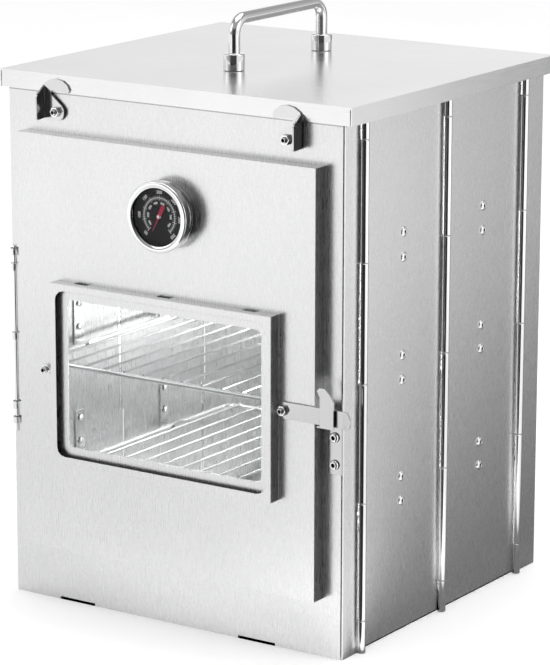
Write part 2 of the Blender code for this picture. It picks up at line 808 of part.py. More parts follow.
def window():
    centre = (window_x, window_z)
    half_w, half_h = window_half_width, window_half_height
    frame = box("window_frame", (window_x - half_w, frame_front, window_z - half_h),
                (window_x + half_w, door_front - seat_gap, window_z + half_h), brushed, door_joint)
    inside = ((window_x - half_w + sheet, frame_front + sheet, window_z - half_h + sheet),
              (window_x + half_w - sheet, overrun, window_z + half_h - sheet))
    cut(frame, [inside])
    opening = rounded(centre, half_w - window_face, half_h - window_face, window_corner)
    hole = outline("window_frame_opening", [opening], "y", frame_front - overrun,
                   frame_front + sheet + overrun, None, door_joint, cutters)
    boolean(frame, hole, "DIFFERENCE")
    bm = bmesh.new()
    for x in slot_places:
        add_box(bm, (window_x + x - slot_width / 2, door_front - seat_gap - slot_depth,
                     window_z + half_h - sheet - overrun),
                (window_x + x + slot_width / 2, door_front + overrun, window_z + half_h + overrun))
    boolean(frame, finish(bm, "window_frame_slots", None, door_joint, cutters), "DIFFERENCE")
    outer = (half_w - sheet - seat_gap, half_h - sheet - seat_gap)
    outer_loop = [(window_x + a * outer[0], window_z + b * outer[1])
                  for a, b in ((1, 1), (-1, 1), (-1, -1), (1, -1))]
    inner_centre = (window_x - retainer_margin_x, window_z)
    inner_loop = rounded(inner_centre, retainer_half_width, retainer_half_height, retainer_corner)
    outline("window_retainer", [outer_loop, inner_loop], "y", retainer_front,
            retainer_front + sheet, brushed, door_joint)
    glass_w, glass_h = half_w - sheet - glass_clearance, half_h - sheet - glass_clearance
    box("window_glass", (window_x - glass_w, glass_front, window_z - glass_h),
        (window_x + glass_w, glass_front + glass_thickness, window_z + glass_h), clear_glass,
        door_joint)


def thermometer():
    base = (dial_x, door_front, dial_z)
    dial_top = thermometer_depth - dial_recess
    case_top = thermometer_depth - bezel_lip - seat_gap - lens_thickness - seat_gap
    case_profile = [
        (case_radius, case_top), (case_radius, case_rim_depth + seat_gap),
        (case_rim_radius, case_rim_depth), (case_rim_radius, seat_gap + seat_gap),
        (case_rim_radius - seat_gap, seat_gap), (collar_radius - case_wall, seat_gap),
        (collar_radius - case_wall, seat_gap + case_wall),
        (case_radius - case_wall - case_ledge, seat_gap + case_wall),
        (case_radius - case_wall - case_ledge, dial_top - dial_thickness - seat_gap),
        (case_radius - case_wall, dial_top - dial_thickness - seat_gap),
        (case_radius - case_wall, case_top)]
    turned("thermometer_case", case_profile, base, "front", polished, door_joint, round_sides)
    top = thermometer_depth
    inner = case_radius + seat_gap
    bezel_profile = [
        (bezel_opening, top - bezel_lip), (bezel_opening, top - bezel_lip / 2),
        (bezel_opening + bezel_lip, top), (bezel_radius - bezel_wall, top),
        (bezel_radius - bezel_wall / 4, top - bezel_wall / 3),
        (bezel_radius, top - bezel_wall), (bezel_radius, top - bezel_depth),
        (inner, top - bezel_depth), (inner, top - bezel_lip)]
    turned("thermometer_bezel", bezel_profile, base, "front", polished, door_joint, round_sides)
    dial_radius = case_radius - case_wall - seat_gap
    turned("thermometer_dial",
           [(needle_hub / 2, dial_top), (dial_radius, dial_top),
            (dial_radius, dial_top - dial_thickness), (needle_hub / 2, dial_top - dial_thickness)],
           base, "front", dial_black, door_joint, round_sides)
    lens_top = top - bezel_lip - seat_gap
    turned("thermometer_lens",
           [(0, lens_top), (case_radius, lens_top), (case_radius, lens_top - lens_thickness),
            (0, lens_top - lens_thickness)], base, "front", clear_glass, door_joint, round_sides)
    turned("thermometer_stem",
           [(0, 0), (collar_radius, 0), (collar_radius, -collar_length),
            (probe_radius, -collar_length), (probe_radius, -probe_length), (0, -probe_length)],
           base, "front", polished, door_joint)
    nut_back = door_front + sheet + seat_gap
    outline("thermometer_nut", [hexagon((dial_x, dial_z), stem_nut_radius),
                                circle((dial_x, dial_z), collar_radius + seat_gap)],
            "y", nut_back, nut_back + stem_nut_height, polished, door_joint)
    needle_low = door_front - dial_top - needle_rise
    direction = math.radians(90 - needle_angle)
    along = (math.cos(direction), math.sin(direction))
    across = (-along[1], along[0])

    def point(run, aside):
        return (dial_x + run * along[0] + aside * across[0],
                dial_z + run * along[1] + aside * across[1])

    tip, tail = needle_tip_width / 2, needle_tail_width / 2
    loop = [point(needle_length, -tip / 2), point(needle_length, tip / 2), point(0, tip),
            point(-needle_hub, tail), point(-needle_tail, tail), point(-needle_tail, -tail),
            point(-needle_hub, -tail), point(0, -tip)]
    needle = outline("thermometer_needle", [loop], "y", needle_low - needle_thickness, needle_low,
                     needle_red, needle_joint)
    bm = bmesh.new()
    hub_low = needle_low + needle_rise - seat_gap
    add_rod(bm, (dial_x, hub_low - needle_hub_height, dial_z), (dial_x, hub_low, dial_z),
            needle_hub)
    boolean(needle, finish(bm, "needle_hub", None, needle_joint, cutters), "UNION")
    bm = bmesh.new()
    add_rod(bm, (dial_x, hub_low - needle_hub_height / 2, dial_z),
            (dial_x, door_front - seat_gap, dial_z), needle_spindle, wire_sides)
    boolean(needle, finish(bm, "needle_spindle", None, needle_joint, cutters), "UNION")


def latch():
    """A lever with a thumb tab. Its heel is cut back to turn clear of the window's frame."""
    half, tab_half = latch_half_height, latch_tab_half_height
    pivot = (latch_x, latch_z)
    heel = latch_x + half - latch_heel_radius * math.sqrt(2)
    loop = [(heel, latch_z + half)]
    loop += arc(pivot, latch_heel_radius, 135, 225, corner_steps)
    loop += [(heel, latch_z - half), (latch_x + latch_crease, latch_z - half)]
    loop += arc((latch_x + latch_length - tab_half, latch_z), tab_half, -90, 90, 8)
    loop += [(latch_x + latch_crease, latch_z + half)]
    bm = outline_bm([loop, circle(pivot, stud_radius + seat_gap)], "y", latch_front, latch_back)
    crease = latch_x + latch_crease
    everything = bm.verts[:] + bm.edges[:] + bm.faces[:]
    bmesh.ops.bisect_plane(bm, geom=everything, plane_co=(crease, 0, 0), plane_no=(1, 0, 0))
    for vert in bm.verts:
        vert.co.y -= max(vert.co.x - crease, 0) * latch_tab_slope
    finish(bm, "latch_lever", brushed, latch_joint)
    nut_low = latch_front - seat_gap
    reach = door_front - nut_low + nut_height + stud_reach
    stud("left_door_stud", (-latch_x, door_front, latch_z), reach, door_joint)
    stud("right_door_stud", (latch_x, door_front, latch_z), reach, door_joint)
    nut("right_door_nut", latch_x, latch_z, nut_low - nut_height, nut_low, door_joint)
    left_low = door_front - seat_gap
    nut("left_door_nut", -latch_x, latch_z, left_low - nut_height, left_low, door_joint)


def keeper():
    """A strip riveted to the front panel, bent out under the latch and up in front of it."""
    low_x, high_x = keeper_x - keeper_width / 2, keeper_x + keeper_width / 2
    outer = keeper_inner - keeper_sheet
    floor_low = keeper_floor - keeper_sheet
    strap_back, strap_front = -seat_gap, -seat_gap - keeper_sheet
    bottom = floor_low - keeper_strap
    strap = [(strap_back, bottom), (strap_back, keeper_floor), (outer, keeper_floor),
             (outer, floor_low), (strap_front, floor_low), (strap_front, bottom)]
    made = outline("keeper", [strap], "x", low_x, high_x, brushed, oven)
    shoulder, horn = keeper_floor + keeper_shoulder, keeper_floor + keeper_horn
    tip = keeper_floor + keeper_horn_tip
    bend = keeper_width * keeper_bend_share
    slope = keeper_width * keeper_slope_share
    throat = keeper_width * keeper_throat_share
    low_x, high_x = low_x + keeper_plate_shift, high_x + keeper_plate_shift
    plate = [(low_x, floor_low), (high_x, floor_low), (high_x, shoulder)]
    plate += [(high_x - bend, shoulder + slope), (low_x + bend, horn), (low_x, horn),
              (low_x - keeper_horn_lean, tip), (low_x, shoulder + throat)]
    join_outline(made, "keeper_front", [plate], "y", outer, keeper_inner)
    holes = [((keeper_x, strap_front - overrun, z), (keeper_x, overrun, z),
              rivet_shank + seat_gap) for z in keeper_rivet_heights]
    cut(made, rods=holes)
    head = -strap_front + seat_gap
    tail = -(sheet + seat_gap)
    profile = [
        (0, head + keeper_rivet_height / 2), (keeper_rivet_hole, head + keeper_rivet_height / 2),
        (keeper_rivet_hole, head + keeper_rivet_height),
        (keeper_rivet_head * crown_share, head + keeper_rivet_height),
        (keeper_rivet_head, head + keeper_rivet_height / 3), (keeper_rivet_head, head),
        (rivet_shank, head), (rivet_shank, tail), (rivet_tail, tail),
        (rivet_tail, tail - rivet_tail_height), (0, tail - rivet_tail_height)]
    for number, z in enumerate(keeper_rivet_heights):
        turned(f"keeper_rivet_{number + 1}", profile, (keeper_x, 0, z), "front", polished, oven)


def clamp(word, side, parent):
    """A hooked plate that turns on its stud, with a finger tab bent forward at its outer edge."""
    outer = clamp_outer
    shape = arc((0, 0), clamp_lobe, 160, 270, 8)
    shape += [(outer * across, outer * up) for across, up in clamp_outline_shares]
    place = (side * clamp_x, clamp_z)
    loop = [(place[0] + side * u, place[1] + v) for u, v in shape]
    plate = outline(word + "_clamp", [loop, circle(place, stud_radius + seat_gap)], "y",
                    clamp_front, clamp_back, brushed, parent)
    tip = clamp_front - clamp_tab_depth
    root = clamp_back - clamp_sheet / 2
    depths = (root, root, clamp_front, tip + clamp_sheet, tip, tip, tip + clamp_sheet)
    tab = [(y, clamp_z + outer * up) for y, up in zip(depths, clamp_tab_shares)]
    edge = sorted((side * (clamp_x + outer), side * (clamp_x + outer - clamp_sheet)))
    join_outline(plate, word + "_clamp_tab", [tab], "x", edge[0], edge[1])


def clamps():
    clamp("left", -1, left_clamp_joint)
    clamp("right", 1, right_clamp_joint)
    nut_low = clamp_front - seat_gap
    reach = -nut_low + nut_height + stud_reach
    collar_span = (seat_gap, clamp_stand_off - seat_gap)
    for word, x in (("left", -clamp_x), ("right", clamp_x)):
        stud(word + "_clamp_stud", (x, 0, clamp_z), reach, oven, collar_span)
        nut(word + "_clamp_nut", x, clamp_z, nut_low - nut_height, nut_low, oven)


def lid():
    """A shallow pan, upside down over the top of the cabinet."""
    x = lid_inner_x + sheet
    front = -lid_front_gap - sheet
    pan = box("lid", (-x, front, lid_top - lid_skirt), (x, lid_rear, lid_top), brushed, lid_joint)
    inside = ((-x + sheet, front + sheet, lid_top - lid_skirt - overrun),
              (x - sheet, lid_rear - sheet, lid_top - sheet))
    cut(pan, [inside])
    feet = [handle_y - handle_span / 2, handle_y + handle_span / 2]
    holes = [((handle_x, y, lid_top - sheet - overrun), (handle_x, y, lid_top + overrun),
              handle_screw_radius + seat_gap) for y in feet]
    bm = bmesh.new()
    for start, end, radius in holes:
        add_rod(bm, start, end, radius)
    boolean(pan, finish(bm, "lid_holes", None, lid_joint, cutters), "DIFFERENCE")


def lid_handle():
    low = lid_top + seat_gap
    high = lid_top + handle_rise
    feet = (handle_y - handle_span / 2, handle_y + handle_span / 2)
    path = [(feet[0], low)]
    path += reversed(arc((feet[0] + handle_bend, high - handle_bend), handle_bend, 90, 180, 6))
    path += reversed(arc((feet[1] - handle_bend, high - handle_bend), handle_bend, 0, 90, 6))
    path.append((feet[1], low))
    curve = bpy.data.curves.new("lid_handle", "CURVE")
    curve.dimensions = "3D"
    curve.bevel_depth = handle_radius
    curve.bevel_resolution = 3
    curve.use_fill_caps = True
    spline = curve.splines.new("POLY")
    spline.points.add(len(path) - 1)
    for point, (y, z) in zip(spline.points, path):
        point.co = (handle_x, y, z, 1)
    rail = bpy.data.objects.new("lid_handle", curve)
    parts.objects.link(rail)
    made = finish(mesh_of(rail), "lid_handle", polished, lid_joint)
    bores = [((handle_x, y, low - overrun), (handle_x, y, low + handle_screw_length),
              handle_screw_radius + seat_gap) for y in feet]
    cut(made, rods=bores)
    top = ferrule_height
    inner = handle_radius + seat_gap
    chamfer = seat_gap + seat_gap
    under = lid_top - sheet - seat_gap
    shank = sheet + handle_screw_length
    ferrule = [(ferrule_radius - chamfer, top), (ferrule_radius, top - chamfer),
               (ferrule_radius, 0), (inner, 0), (inner, top)]
    screw = [(0, shank), (handle_screw_radius, shank), (handle_screw_radius, 0),
             (handle_screw_head, 0), (handle_screw_head, -handle_screw_head_height),
             (0, -handle_screw_head_height)]
    for word, y in zip(("front", "rear"), feet):
        turned(word + "_handle_ferrule", ferrule, (handle_x, y, low), "top", polished,
               lid_joint, round_sides)
        turned(word + "_handle_screw", screw, (handle_x, y, under), "top", polished, lid_joint)


front_panel()
rear_panel()
side_walls()
floor_tray()
rack("lower_rack", 0, lower_rack_joint)
rack("upper_rack", 1, upper_rack_joint)
door()
window()
thermometer()
latch()
keeper()
clamps()
lid()
lid_handle()
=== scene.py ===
# %% [markdown]
# # Folding camp oven: from plain solids to finished steel
#
# The imported model holds one plain solid for each piece of the oven. This lesson keeps their places
# and sizes, and gives each of them what a maker would see up close: softened sheet edges, round
# hinge knuckles, drawn wire, rivets, a printed dial and brushed or polished steel. The first cell
# loads the solids, whose box nothing made here may outgrow.

# %% Load the imported model
import math

import bmesh
import bpy
from mathutils import Matrix, Vector


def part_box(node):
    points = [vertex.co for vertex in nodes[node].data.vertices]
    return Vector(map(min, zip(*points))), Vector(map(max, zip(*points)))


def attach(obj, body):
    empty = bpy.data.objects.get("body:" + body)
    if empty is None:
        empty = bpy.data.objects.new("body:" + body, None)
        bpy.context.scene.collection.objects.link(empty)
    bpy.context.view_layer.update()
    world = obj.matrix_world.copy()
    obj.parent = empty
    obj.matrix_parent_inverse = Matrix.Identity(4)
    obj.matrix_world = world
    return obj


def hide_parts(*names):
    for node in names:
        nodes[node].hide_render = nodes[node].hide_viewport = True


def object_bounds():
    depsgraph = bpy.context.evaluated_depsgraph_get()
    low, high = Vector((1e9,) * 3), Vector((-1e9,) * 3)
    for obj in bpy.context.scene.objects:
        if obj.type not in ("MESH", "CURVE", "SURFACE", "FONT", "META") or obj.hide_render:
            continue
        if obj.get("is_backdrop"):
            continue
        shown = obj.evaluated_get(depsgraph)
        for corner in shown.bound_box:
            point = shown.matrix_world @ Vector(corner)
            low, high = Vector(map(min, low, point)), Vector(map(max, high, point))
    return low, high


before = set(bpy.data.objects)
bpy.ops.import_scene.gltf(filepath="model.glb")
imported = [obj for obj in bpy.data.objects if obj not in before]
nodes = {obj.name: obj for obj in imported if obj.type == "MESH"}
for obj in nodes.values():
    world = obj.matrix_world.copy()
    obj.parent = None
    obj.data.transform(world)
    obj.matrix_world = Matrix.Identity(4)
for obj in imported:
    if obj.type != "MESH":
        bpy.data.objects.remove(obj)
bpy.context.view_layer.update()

scene = bpy.context.scene

# %% [markdown]
# ## Measures that many cells share
#
# The cabinet is made of one sheet. Its side walls stand between two planes on each side, and the
# front panel's face is where the door shuts. Other sizes are measured on the solids, or named
# where they are first used.

# %% Shared measures and helpers
sheet = 0.0010
wall_outer, wall_inner = 0.150, 0.1477
panel_face = -0.007
sides = ((-1, "left"), (1, "right"))
walls = [(side, f"{word}_{place}") for side, word in sides for place in ("front", "rear")]


def measured(node):
    """A solid's lower corner, its upper corner and its middle."""
    low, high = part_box(node)
    return low, high, (low + high) / 2


def new_object(name, data):
    """An object in the scene, at the origin."""
    made = bpy.data.objects.new(name, data)
    scene.collection.objects.link(made)
    return made


def aimed(place, aim):
    """Stands at a place and looks at a point."""
    turn = (Vector(aim) - Vector(place)).to_track_quat("-Z", "Y").to_matrix().to_4x4()
    return Matrix.Translation(place) @ turn


# %% [markdown]
# ## The camera
#
# The photograph is taken with a long lens from the right of the door, a little above the oven.
# A long lens keeps the upright edges nearly parallel. The camera is put where a perspective fit to
# the oven's corners says, and turned to look at a point near its middle.

# %% Camera
camera = new_object("camera", bpy.data.cameras.new("camera"))
scene.camera = camera
camera.data.sensor_width = 36
camera.data.lens = 176.8
camera.data.clip_start, camera.data.clip_end = 0.05, 60
stand, look_at = Vector((1.36557, -1.91360, 0.79738)), Vector((0.00097, 0.128, 0.1992))
roll = Matrix.Rotation(math.radians(0.07), 4, "Z")
camera.matrix_world = aimed(stand, look_at) @ roll
print("camera is", round((look_at - stand).length, 3), "m away")

# %% [markdown]
# ## Small helpers for node trees
#
# A shader and a geometry tree are built the same way: add a node, set its options, then give each
# input a value or a link from an earlier node. One helper does that for both. The others name the
# few steps that recur: a sum, a blend of two numbers or two colours, noise, and a new material.

# %% Helpers: add a node
def feed(tree, node, inputs):
    """Gives each input a value, or a link where the value is another node's output."""
    for name, value in inputs.items():
        if isinstance(value, bpy.types.NodeSocket):
            tree.links.new(value, node.inputs[name])
        else:
            node.inputs[name].default_value = value


def add(tree, kind, inputs=None, **options):
    made = tree.nodes.new(kind)
    for name, value in options.items():
        setattr(made, name, value)
    feed(tree, made, inputs or {})
    return made


# %% Helpers: numbers, colours and noise
def maths(tree, operation, first, second=0):
    return add(tree, "ShaderNodeMath", {0: first, 1: second}, operation=operation).outputs[0]


def product(tree, value, *others):
    for other in others:
        value = maths(tree, "MULTIPLY", value, other)
    return value


def blend(tree, share, first, second):
    """A number between two, by a share from 0 to 1."""
    return add(tree, "ShaderNodeMix", {0: share, 2: first, 3: second}).outputs[0]


def tinted(tree, share, first, second):
    """A colour between two, by a share from 0 to 1. Each is a link, or red, green and blue."""
    first, second = [colour if isinstance(colour, bpy.types.NodeSocket) else (*colour, 1)
                     for colour in (first, second)]
    return add(tree, "ShaderNodeMix", {0: share, 6: first, 7: second}, data_type="RGBA").outputs[2]


def ranged(tree, value, low, high, from_low=0.3, from_high=0.7):
    return add(tree, "ShaderNodeMapRange", {
        "Value": value, "From Min": from_low, "From Max": from_high,
        "To Min": low, "To Max": high}).outputs["Result"]


def grain(tree, stretch, detail=3.0, centre=(0, 0, 0)):
    """Noise in the piece's own metres, stretched by a Mapping node."""
    coordinates = add(tree, "ShaderNodeTexCoord").outputs["Object"]
    mapped = add(tree, "ShaderNodeMapping", {
        "Vector": coordinates, "Scale": stretch, "Location": centre}).outputs["Vector"]
    return add(tree, "ShaderNodeTexNoise", {
        "Vector": mapped, "Scale": 1.0, "Detail": detail, "Roughness": 0.6}).outputs["Fac"]


def coordinate(tree, space, axis):
    place = add(tree, "ShaderNodeTexCoord").outputs[space]
    return add(tree, "ShaderNodeSeparateXYZ", {0: place}).outputs[axis]


def lined(tree, colour):
    """Nearly black where a piece's "hollow" attribute marks painted shade: in bores and on the
    window frame's inner faces.
    """
    hollow = add(tree, "ShaderNodeAttribute", attribute_name="hollow").outputs["Fac"]
    return tinted(tree, hollow, colour, grey(0.01))


# %% Helpers: a new material
def new_material(name, metallic=0.0):
    """A material with its node tree and its main shader."""
    made = bpy.data.materials.new(name)
    made.use_nodes = True
    shader = made.node_tree.nodes["Principled BSDF"]
    shader.inputs["Metallic"].default_value = metallic
    return made, made.node_tree, shader


def grey(level):
    return (level, level, level)


# %% [markdown]
# ## Brushed steel
#
# The sheet is stainless steel with a rolled and brushed finish. Up close it has fine scratches in
# one direction, and over a hand's width it is faintly cloudy. Both come from noise: one stretched
# hard along the grain, one soft and wide. The fine one makes roughness and a very slight bump, so
# that highlights spread across the grain, and both shift the colour a little. Grain runs upright on
# the walls and the door, from side to side on the lid, so the recipe takes the stretch. The front
# panel also has a thin grey line of painted shade just below the lid's edge, where that edge would
# shade it. A finish is kept as a pair: the slot that it fills in the imported model, and its
# material.

# %% Brushed steel
# Painted shade: a thin grey line on the front panel just below the lid's edge. These are its half
# height, its middle and its grey.
shade_line_half = 0.0006
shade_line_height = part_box("lid")[0].z - shade_line_half
painted_shade_grey = grey(0.42)


def brushed_steel(name, stretch, dark, light, rough=(0.25, 0.31), bump=0.006, side_stretch=None,
                  shade_line=False):
    made, tree, shader = new_material(name, 1.0)
    fine = grain(tree, stretch, 4.0)
    if side_stretch:
        aside = maths(tree, "ABSOLUTE", coordinate(tree, "Normal", "X"))
        on_side = maths(tree, "GREATER_THAN", aside, 0.7)
        fine = blend(tree, on_side, fine, grain(tree, side_stretch, 4.0))
    broad = grain(tree, (9, 9, 5), 2.0, (0.3, 0.1, 0.2))
    both = maths(tree, "ADD", ranged(tree, fine, 0, 0.5), ranged(tree, broad, 0, 0.5))
    colour = tinted(tree, both, dark, light)
    # Painted shade: the colour turns grey in a thin line just below the lid's edge.
    if shade_line:
        on_shade_line = add(tree, "ShaderNodeMath", {
            0: coordinate(tree, "Object", "Z"), 1: shade_line_height, 2: shade_line_half}, operation="COMPARE")
        colour = tinted(tree, on_shade_line.outputs[0], colour, painted_shade_grey)
    relief = add(tree, "ShaderNodeBump", {"Height": fine, "Strength": bump, "Distance": 0.0002})
    feed(tree, shader, {
        "Base Color": lined(tree, colour), "Roughness": ranged(tree, fine, *rough),
        "Normal": relief.outputs["Normal"]})
    return "brushed_steel", made


upright = (1100, 1100, 90)
sideways = (60, 1100, 1100)
front_to_back = (1100, 60, 1100)
every_way = (700, 700, 700)
panel_greys = (0.71, 0.71, 0.715), grey(0.77)
pale_greys = grey(0.74), grey(0.84)
panel_steel = brushed_steel("upright brushed steel", upright, *panel_greys)
front_steel = brushed_steel("front panel steel", upright, *panel_greys, shade_line=True)
lid_steel = brushed_steel("lid steel", sideways, (0.73, 0.73, 0.735), grey(0.82), (0.20, 0.28),
                          0.03, front_to_back)
inside_steel = brushed_steel("inside steel", front_to_back, *pale_greys, (0.24, 0.36))
small_steel = brushed_steel("tumbled steel", every_way, *pale_greys, (0.16, 0.28), 0.03)
rolled_steel = brushed_steel("rolled knuckle steel", upright, grey(0.78), grey(0.84),
                             (0.07, 0.10), 0.0)
fitting_steel = brushed_steel("polished sheet", upright, grey(0.57), grey(0.65),
                              (0.12, 0.20), 0.01)
print("brushed finishes:", panel_steel[1].name, lid_steel[1].name, small_steel[1].name)

# %% [markdown]
# ## Polished steel, wire and glass
#
# The handle, the thermometer's case and the fasteners are polished, so they mirror the studio, but
# fine polishing lines and finger marks still soften that here and there. The racks are bright drawn
# wire. The glass is flat and clear: a clear film lets the light through to the racks, and a mirror
# film is laid over it by the Fresnel rule, stronger at a glancing angle. That film is on the outer
# face only, because inside the pane the same rule would turn it opaque at a steep view.

# %% Polished steel
def polished_steel(name, light, rough=(0.05, 0.13), slot="polished_steel"):
    made, tree, shader = new_material(name, 1.0)
    marks = grain(tree, (90, 90, 90), 5.0)
    lines = grain(tree, (3000, 3000, 300), 2.0)
    dark = [channel * 0.93 for channel in light]
    colour = tinted(tree, ranged(tree, lines, 0, 1), dark, light)
    feed(tree, shader, {
        "Base Color": lined(tree, colour), "Roughness": ranged(tree, marks, *rough)})
    return slot, made


bright_steel = polished_steel("polished steel", (0.86, 0.86, 0.87))
wire_steel = polished_steel("drawn wire", grey(0.80), (0.16, 0.26), "wire_steel")
# The thermometer's case gets a darker grey than the other polished steel: partly a duller finish,
# partly painted shade for the case's dark side.
case_steel_and_shade = polished_steel("dull turned steel", grey(0.50), (0.08, 0.14))

# %% Glass
def clear_glass(name, tint, index=1.45):
    made, tree, mirror = new_material(name, 1.0)
    smears = grain(tree, (30, 30, 30), 4.0)
    feed(tree, mirror, {
        "Base Color": (0.96, 0.98, 0.97, 1), "Roughness": ranged(tree, smears, 0.0, 0.05)})
    through = add(tree, "ShaderNodeBsdfTransparent", {"Color": (*tint, 1)})
    by_angle = add(tree, "ShaderNodeFresnel", {"IOR": index}).outputs["Fac"]
    inner_face = add(tree, "ShaderNodeNewGeometry").outputs["Backfacing"]
    film = maths(tree, "MULTIPLY", by_angle, maths(tree, "SUBTRACT", 1.0, inner_face))
    mixed = add(tree, "ShaderNodeMixShader", {
        0: film, 1: through.outputs[0], 2: mirror.outputs[0]})
    feed(tree, tree.nodes["Material Output"], {"Surface": mixed.outputs[0]})
    return "clear_glass", made


window_glass = clear_glass("window glass", (0.965, 0.975, 0.97))
lens_glass = clear_glass("coated dial lens", grey(0.97), 1.2)
print("clear:", window_glass[1].name, lens_glass[1].name)

# %% [markdown]
# ## Paints of the dial
#
# The dial is black enamel with a fine grain, its figures are pale print, and the needle is red.

# %% Dial paints
def paint(slot, name, dark, light, rough):
    made, tree, shader = new_material(name)
    specks = grain(tree, (1500, 1500, 1500))
    feed(tree, shader, {
        "Base Color": tinted(tree, ranged(tree, specks, 0, 1), dark, light),
        "Roughness": ranged(tree, specks, rough, rough + 0.12), "Specular IOR Level": 0.2})
    return slot, made


dial_enamel = paint(
    "dial_black", "dial enamel", (0.012, 0.012, 0.014), (0.022, 0.022, 0.025), 0.35)
dial_print = paint("dial_black", "dial print", grey(0.72), grey(0.85), 0.5)
needle_paint = paint("needle_red", "needle paint", (0.36, 0.02, 0.05), (0.48, 0.04, 0.09), 0.4)
hub_paint = paint("needle_red", "needle hub", (0.75, 0.74, 0.72), (0.85, 0.84, 0.82), 0.4)

# %% [markdown]
# ## Sheet pieces: soften the solids' edges
#
# Cut and folded sheet never has a knife edge. The solids have the right outlines, so each is
# copied, its doubled points are merged, its flat triangles are joined into whole faces, and a Bevel
# modifier rounds the edges. Normals weighted by area keep the broad faces flat. The copy then
# stands for its solid.

# %% Helpers: finished pieces
def settle(obj, body, finish, replaced=()):
    """Gives a piece its material, its body and the solids that it stands for."""
    slot, material = finish
    obj.data.materials.clear()
    obj.data.materials.append(material)
    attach(obj, body)
    if replaced:
        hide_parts(*replaced)
    return obj


def piece_from(bm, name):
    mesh = bpy.data.meshes.new(name)
    bm.to_mesh(mesh)
    bm.free()
    return new_object(name, mesh)


def plain_mesh(obj):
    """The mesh that an object's modifiers or curve settings give."""
    graph = bpy.context.evaluated_depsgraph_get()
    return bpy.data.meshes.new_from_object(obj.evaluated_get(graph))


def smooth(obj, angle):
    """Smooth shading, with edges kept sharp from an angle on."""
    obj.data.shade_smooth()
    obj.data.set_sharp_from_angle(angle=math.radians(angle))


# %% Helpers: copy a solid with softened edges
doubled = 0.000002


def solid_copy(node):
    bm = bmesh.new()
    bm.from_mesh(nodes[node].data)
    bmesh.ops.remove_doubles(bm, verts=bm.verts, dist=doubled)
    bmesh.ops.dissolve_limit(bm, angle_limit=math.radians(1), verts=bm.verts, edges=bm.edges)
    return bm


def soften(obj, width, segments=2, angle=35):
    bevel = obj.modifiers.new("edges", "BEVEL")
    bevel.width = width
    bevel.segments = segments
    bevel.limit_method = "ANGLE"
    bevel.angle_limit = math.radians(angle)
    flat = obj.modifiers.new("flat faces", "WEIGHTED_NORMAL")
    flat.weight = 100
    flat.keep_sharp = True
    obj.data.shade_smooth()


def folded(node, body, finish, width, segments=2, angle=35):
    made = piece_from(solid_copy(node), node + "_sheet")
    soften(made, width, segments, angle)
    return settle(made, body, finish, [node])


# %% Cabinet, door and window sheets
folded("front_panel", "front_frame", front_steel, 0.0003)
for side, wall in walls:
    folded(wall + "_leaf", wall + "_wall", panel_steel, 0.0003)
door_piece = folded("door_panel", "door", panel_steel, 0.0005)
frame_piece = folded("window_frame", "door", panel_steel, 0.0004)
rim_piece = folded("window_retainer", "door", panel_steel, 0.0002)
folded("floor_tray", "tray", inside_steel, 0.0004)
print("sheets softened")

# %% [markdown]
# ## The window's rims
#
# The frame's inner faces are painted black as shade, which a face attribute marks and the brushed
# recipe reads. The inner rim shows a little more of its face at the left, where that painted shade
# mirrors in it, and the door's skin behind stops short of the rim's edge, so that no dark strip is
# left beside the view.

# %% Window rims
window_low, window_high, window_middle = measured("window_frame")
# Painted shade: the frame's faces that turn in towards the opening are marked to be painted black.
shade_faces = frame_piece.data.attributes.new("hollow", "FLOAT", "FACE")
for face, mark in zip(frame_piece.data.polygons, shade_faces.data):
    aside = face.center - window_middle
    turned_in = aside.x * face.normal.x + aside.z * face.normal.z < 0
    mark.value = float(turned_in and abs(face.normal.y) < 0.5)
rim_start, rim_reach = 0.004, 0.0040
for vert in rim_piece.data.vertices:
    if window_low.x + rim_start < vert.co.x < window_middle.x:
        vert.co.x += rim_reach
skin_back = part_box("door_panel")[0].y + 2 * sheet
side_band, side_reach = 0.016, 0.0045
foot_band, foot_reach = 0.020, 0.0015
for vert in door_piece.data.vertices:
    x, y, z = vert.co
    near_window = window_low.x < x < window_high.x and window_low.z < z < window_high.z
    if near_window and y < skin_back:
        if x < window_low.x + side_band:
            vert.co.x -= side_reach
        if z < window_low.z + foot_band:
            vert.co.z -= foot_reach
print("window lined:", sum(mark.value for mark in shade_faces.data), "black faces")

# %% Latch, keeper, clamps and nuts
folded("keeper", "front_frame", fitting_steel, 0.0003)
folded("latch_lever", "latch", fitting_steel, 0.0002)
for side, word in sides:
    folded(word + "_clamp", word + "_clamp", fitting_steel, 0.0003)
for ending, body in (("_clamp_nut", "front_frame"), ("_door_nut", "door")):
    for side, word in sides:
        folded(word + ending, body, bright_steel, 0.0004)
folded("thermometer_nut", "door", bright_steel, 0.0004)
print("fittings softened")

# %% [markdown]
# ## The lid and the rear panel's notches
#
# The lid is folded from one sheet, so its top edge has a rounder bend than a cut edge, and at each
# corner the two skirts meet in a fine open seam. Each side of the rear panel has a small notch at
# its foot. Seams and notches are cut with boxes by a Boolean modifier, which is applied before the
# edges are softened, so that the bevel sees them too.

# %% Helper: cut boxes out of a sheet
def cut_out(obj, boxes):
    """Boxes are pairs of corners."""
    cutter = bmesh.new()
    for low, high in boxes:
        low, high = Vector(low), Vector(high)
        bmesh.ops.create_cube(cutter, size=1, matrix=(
            Matrix.Translation((low + high) / 2) @ Matrix.Diagonal((*(high - low), 1))))
    boxes_piece = piece_from(cutter, "cutter")
    step = obj.modifiers.new("openings", "BOOLEAN")
    step.solver = "EXACT"
    step.operation = "DIFFERENCE"
    step.object = boxes_piece
    cut_mesh = plain_mesh(obj)
    obj.modifiers.clear()
    obj.data = cut_mesh
    bpy.data.objects.remove(boxes_piece)


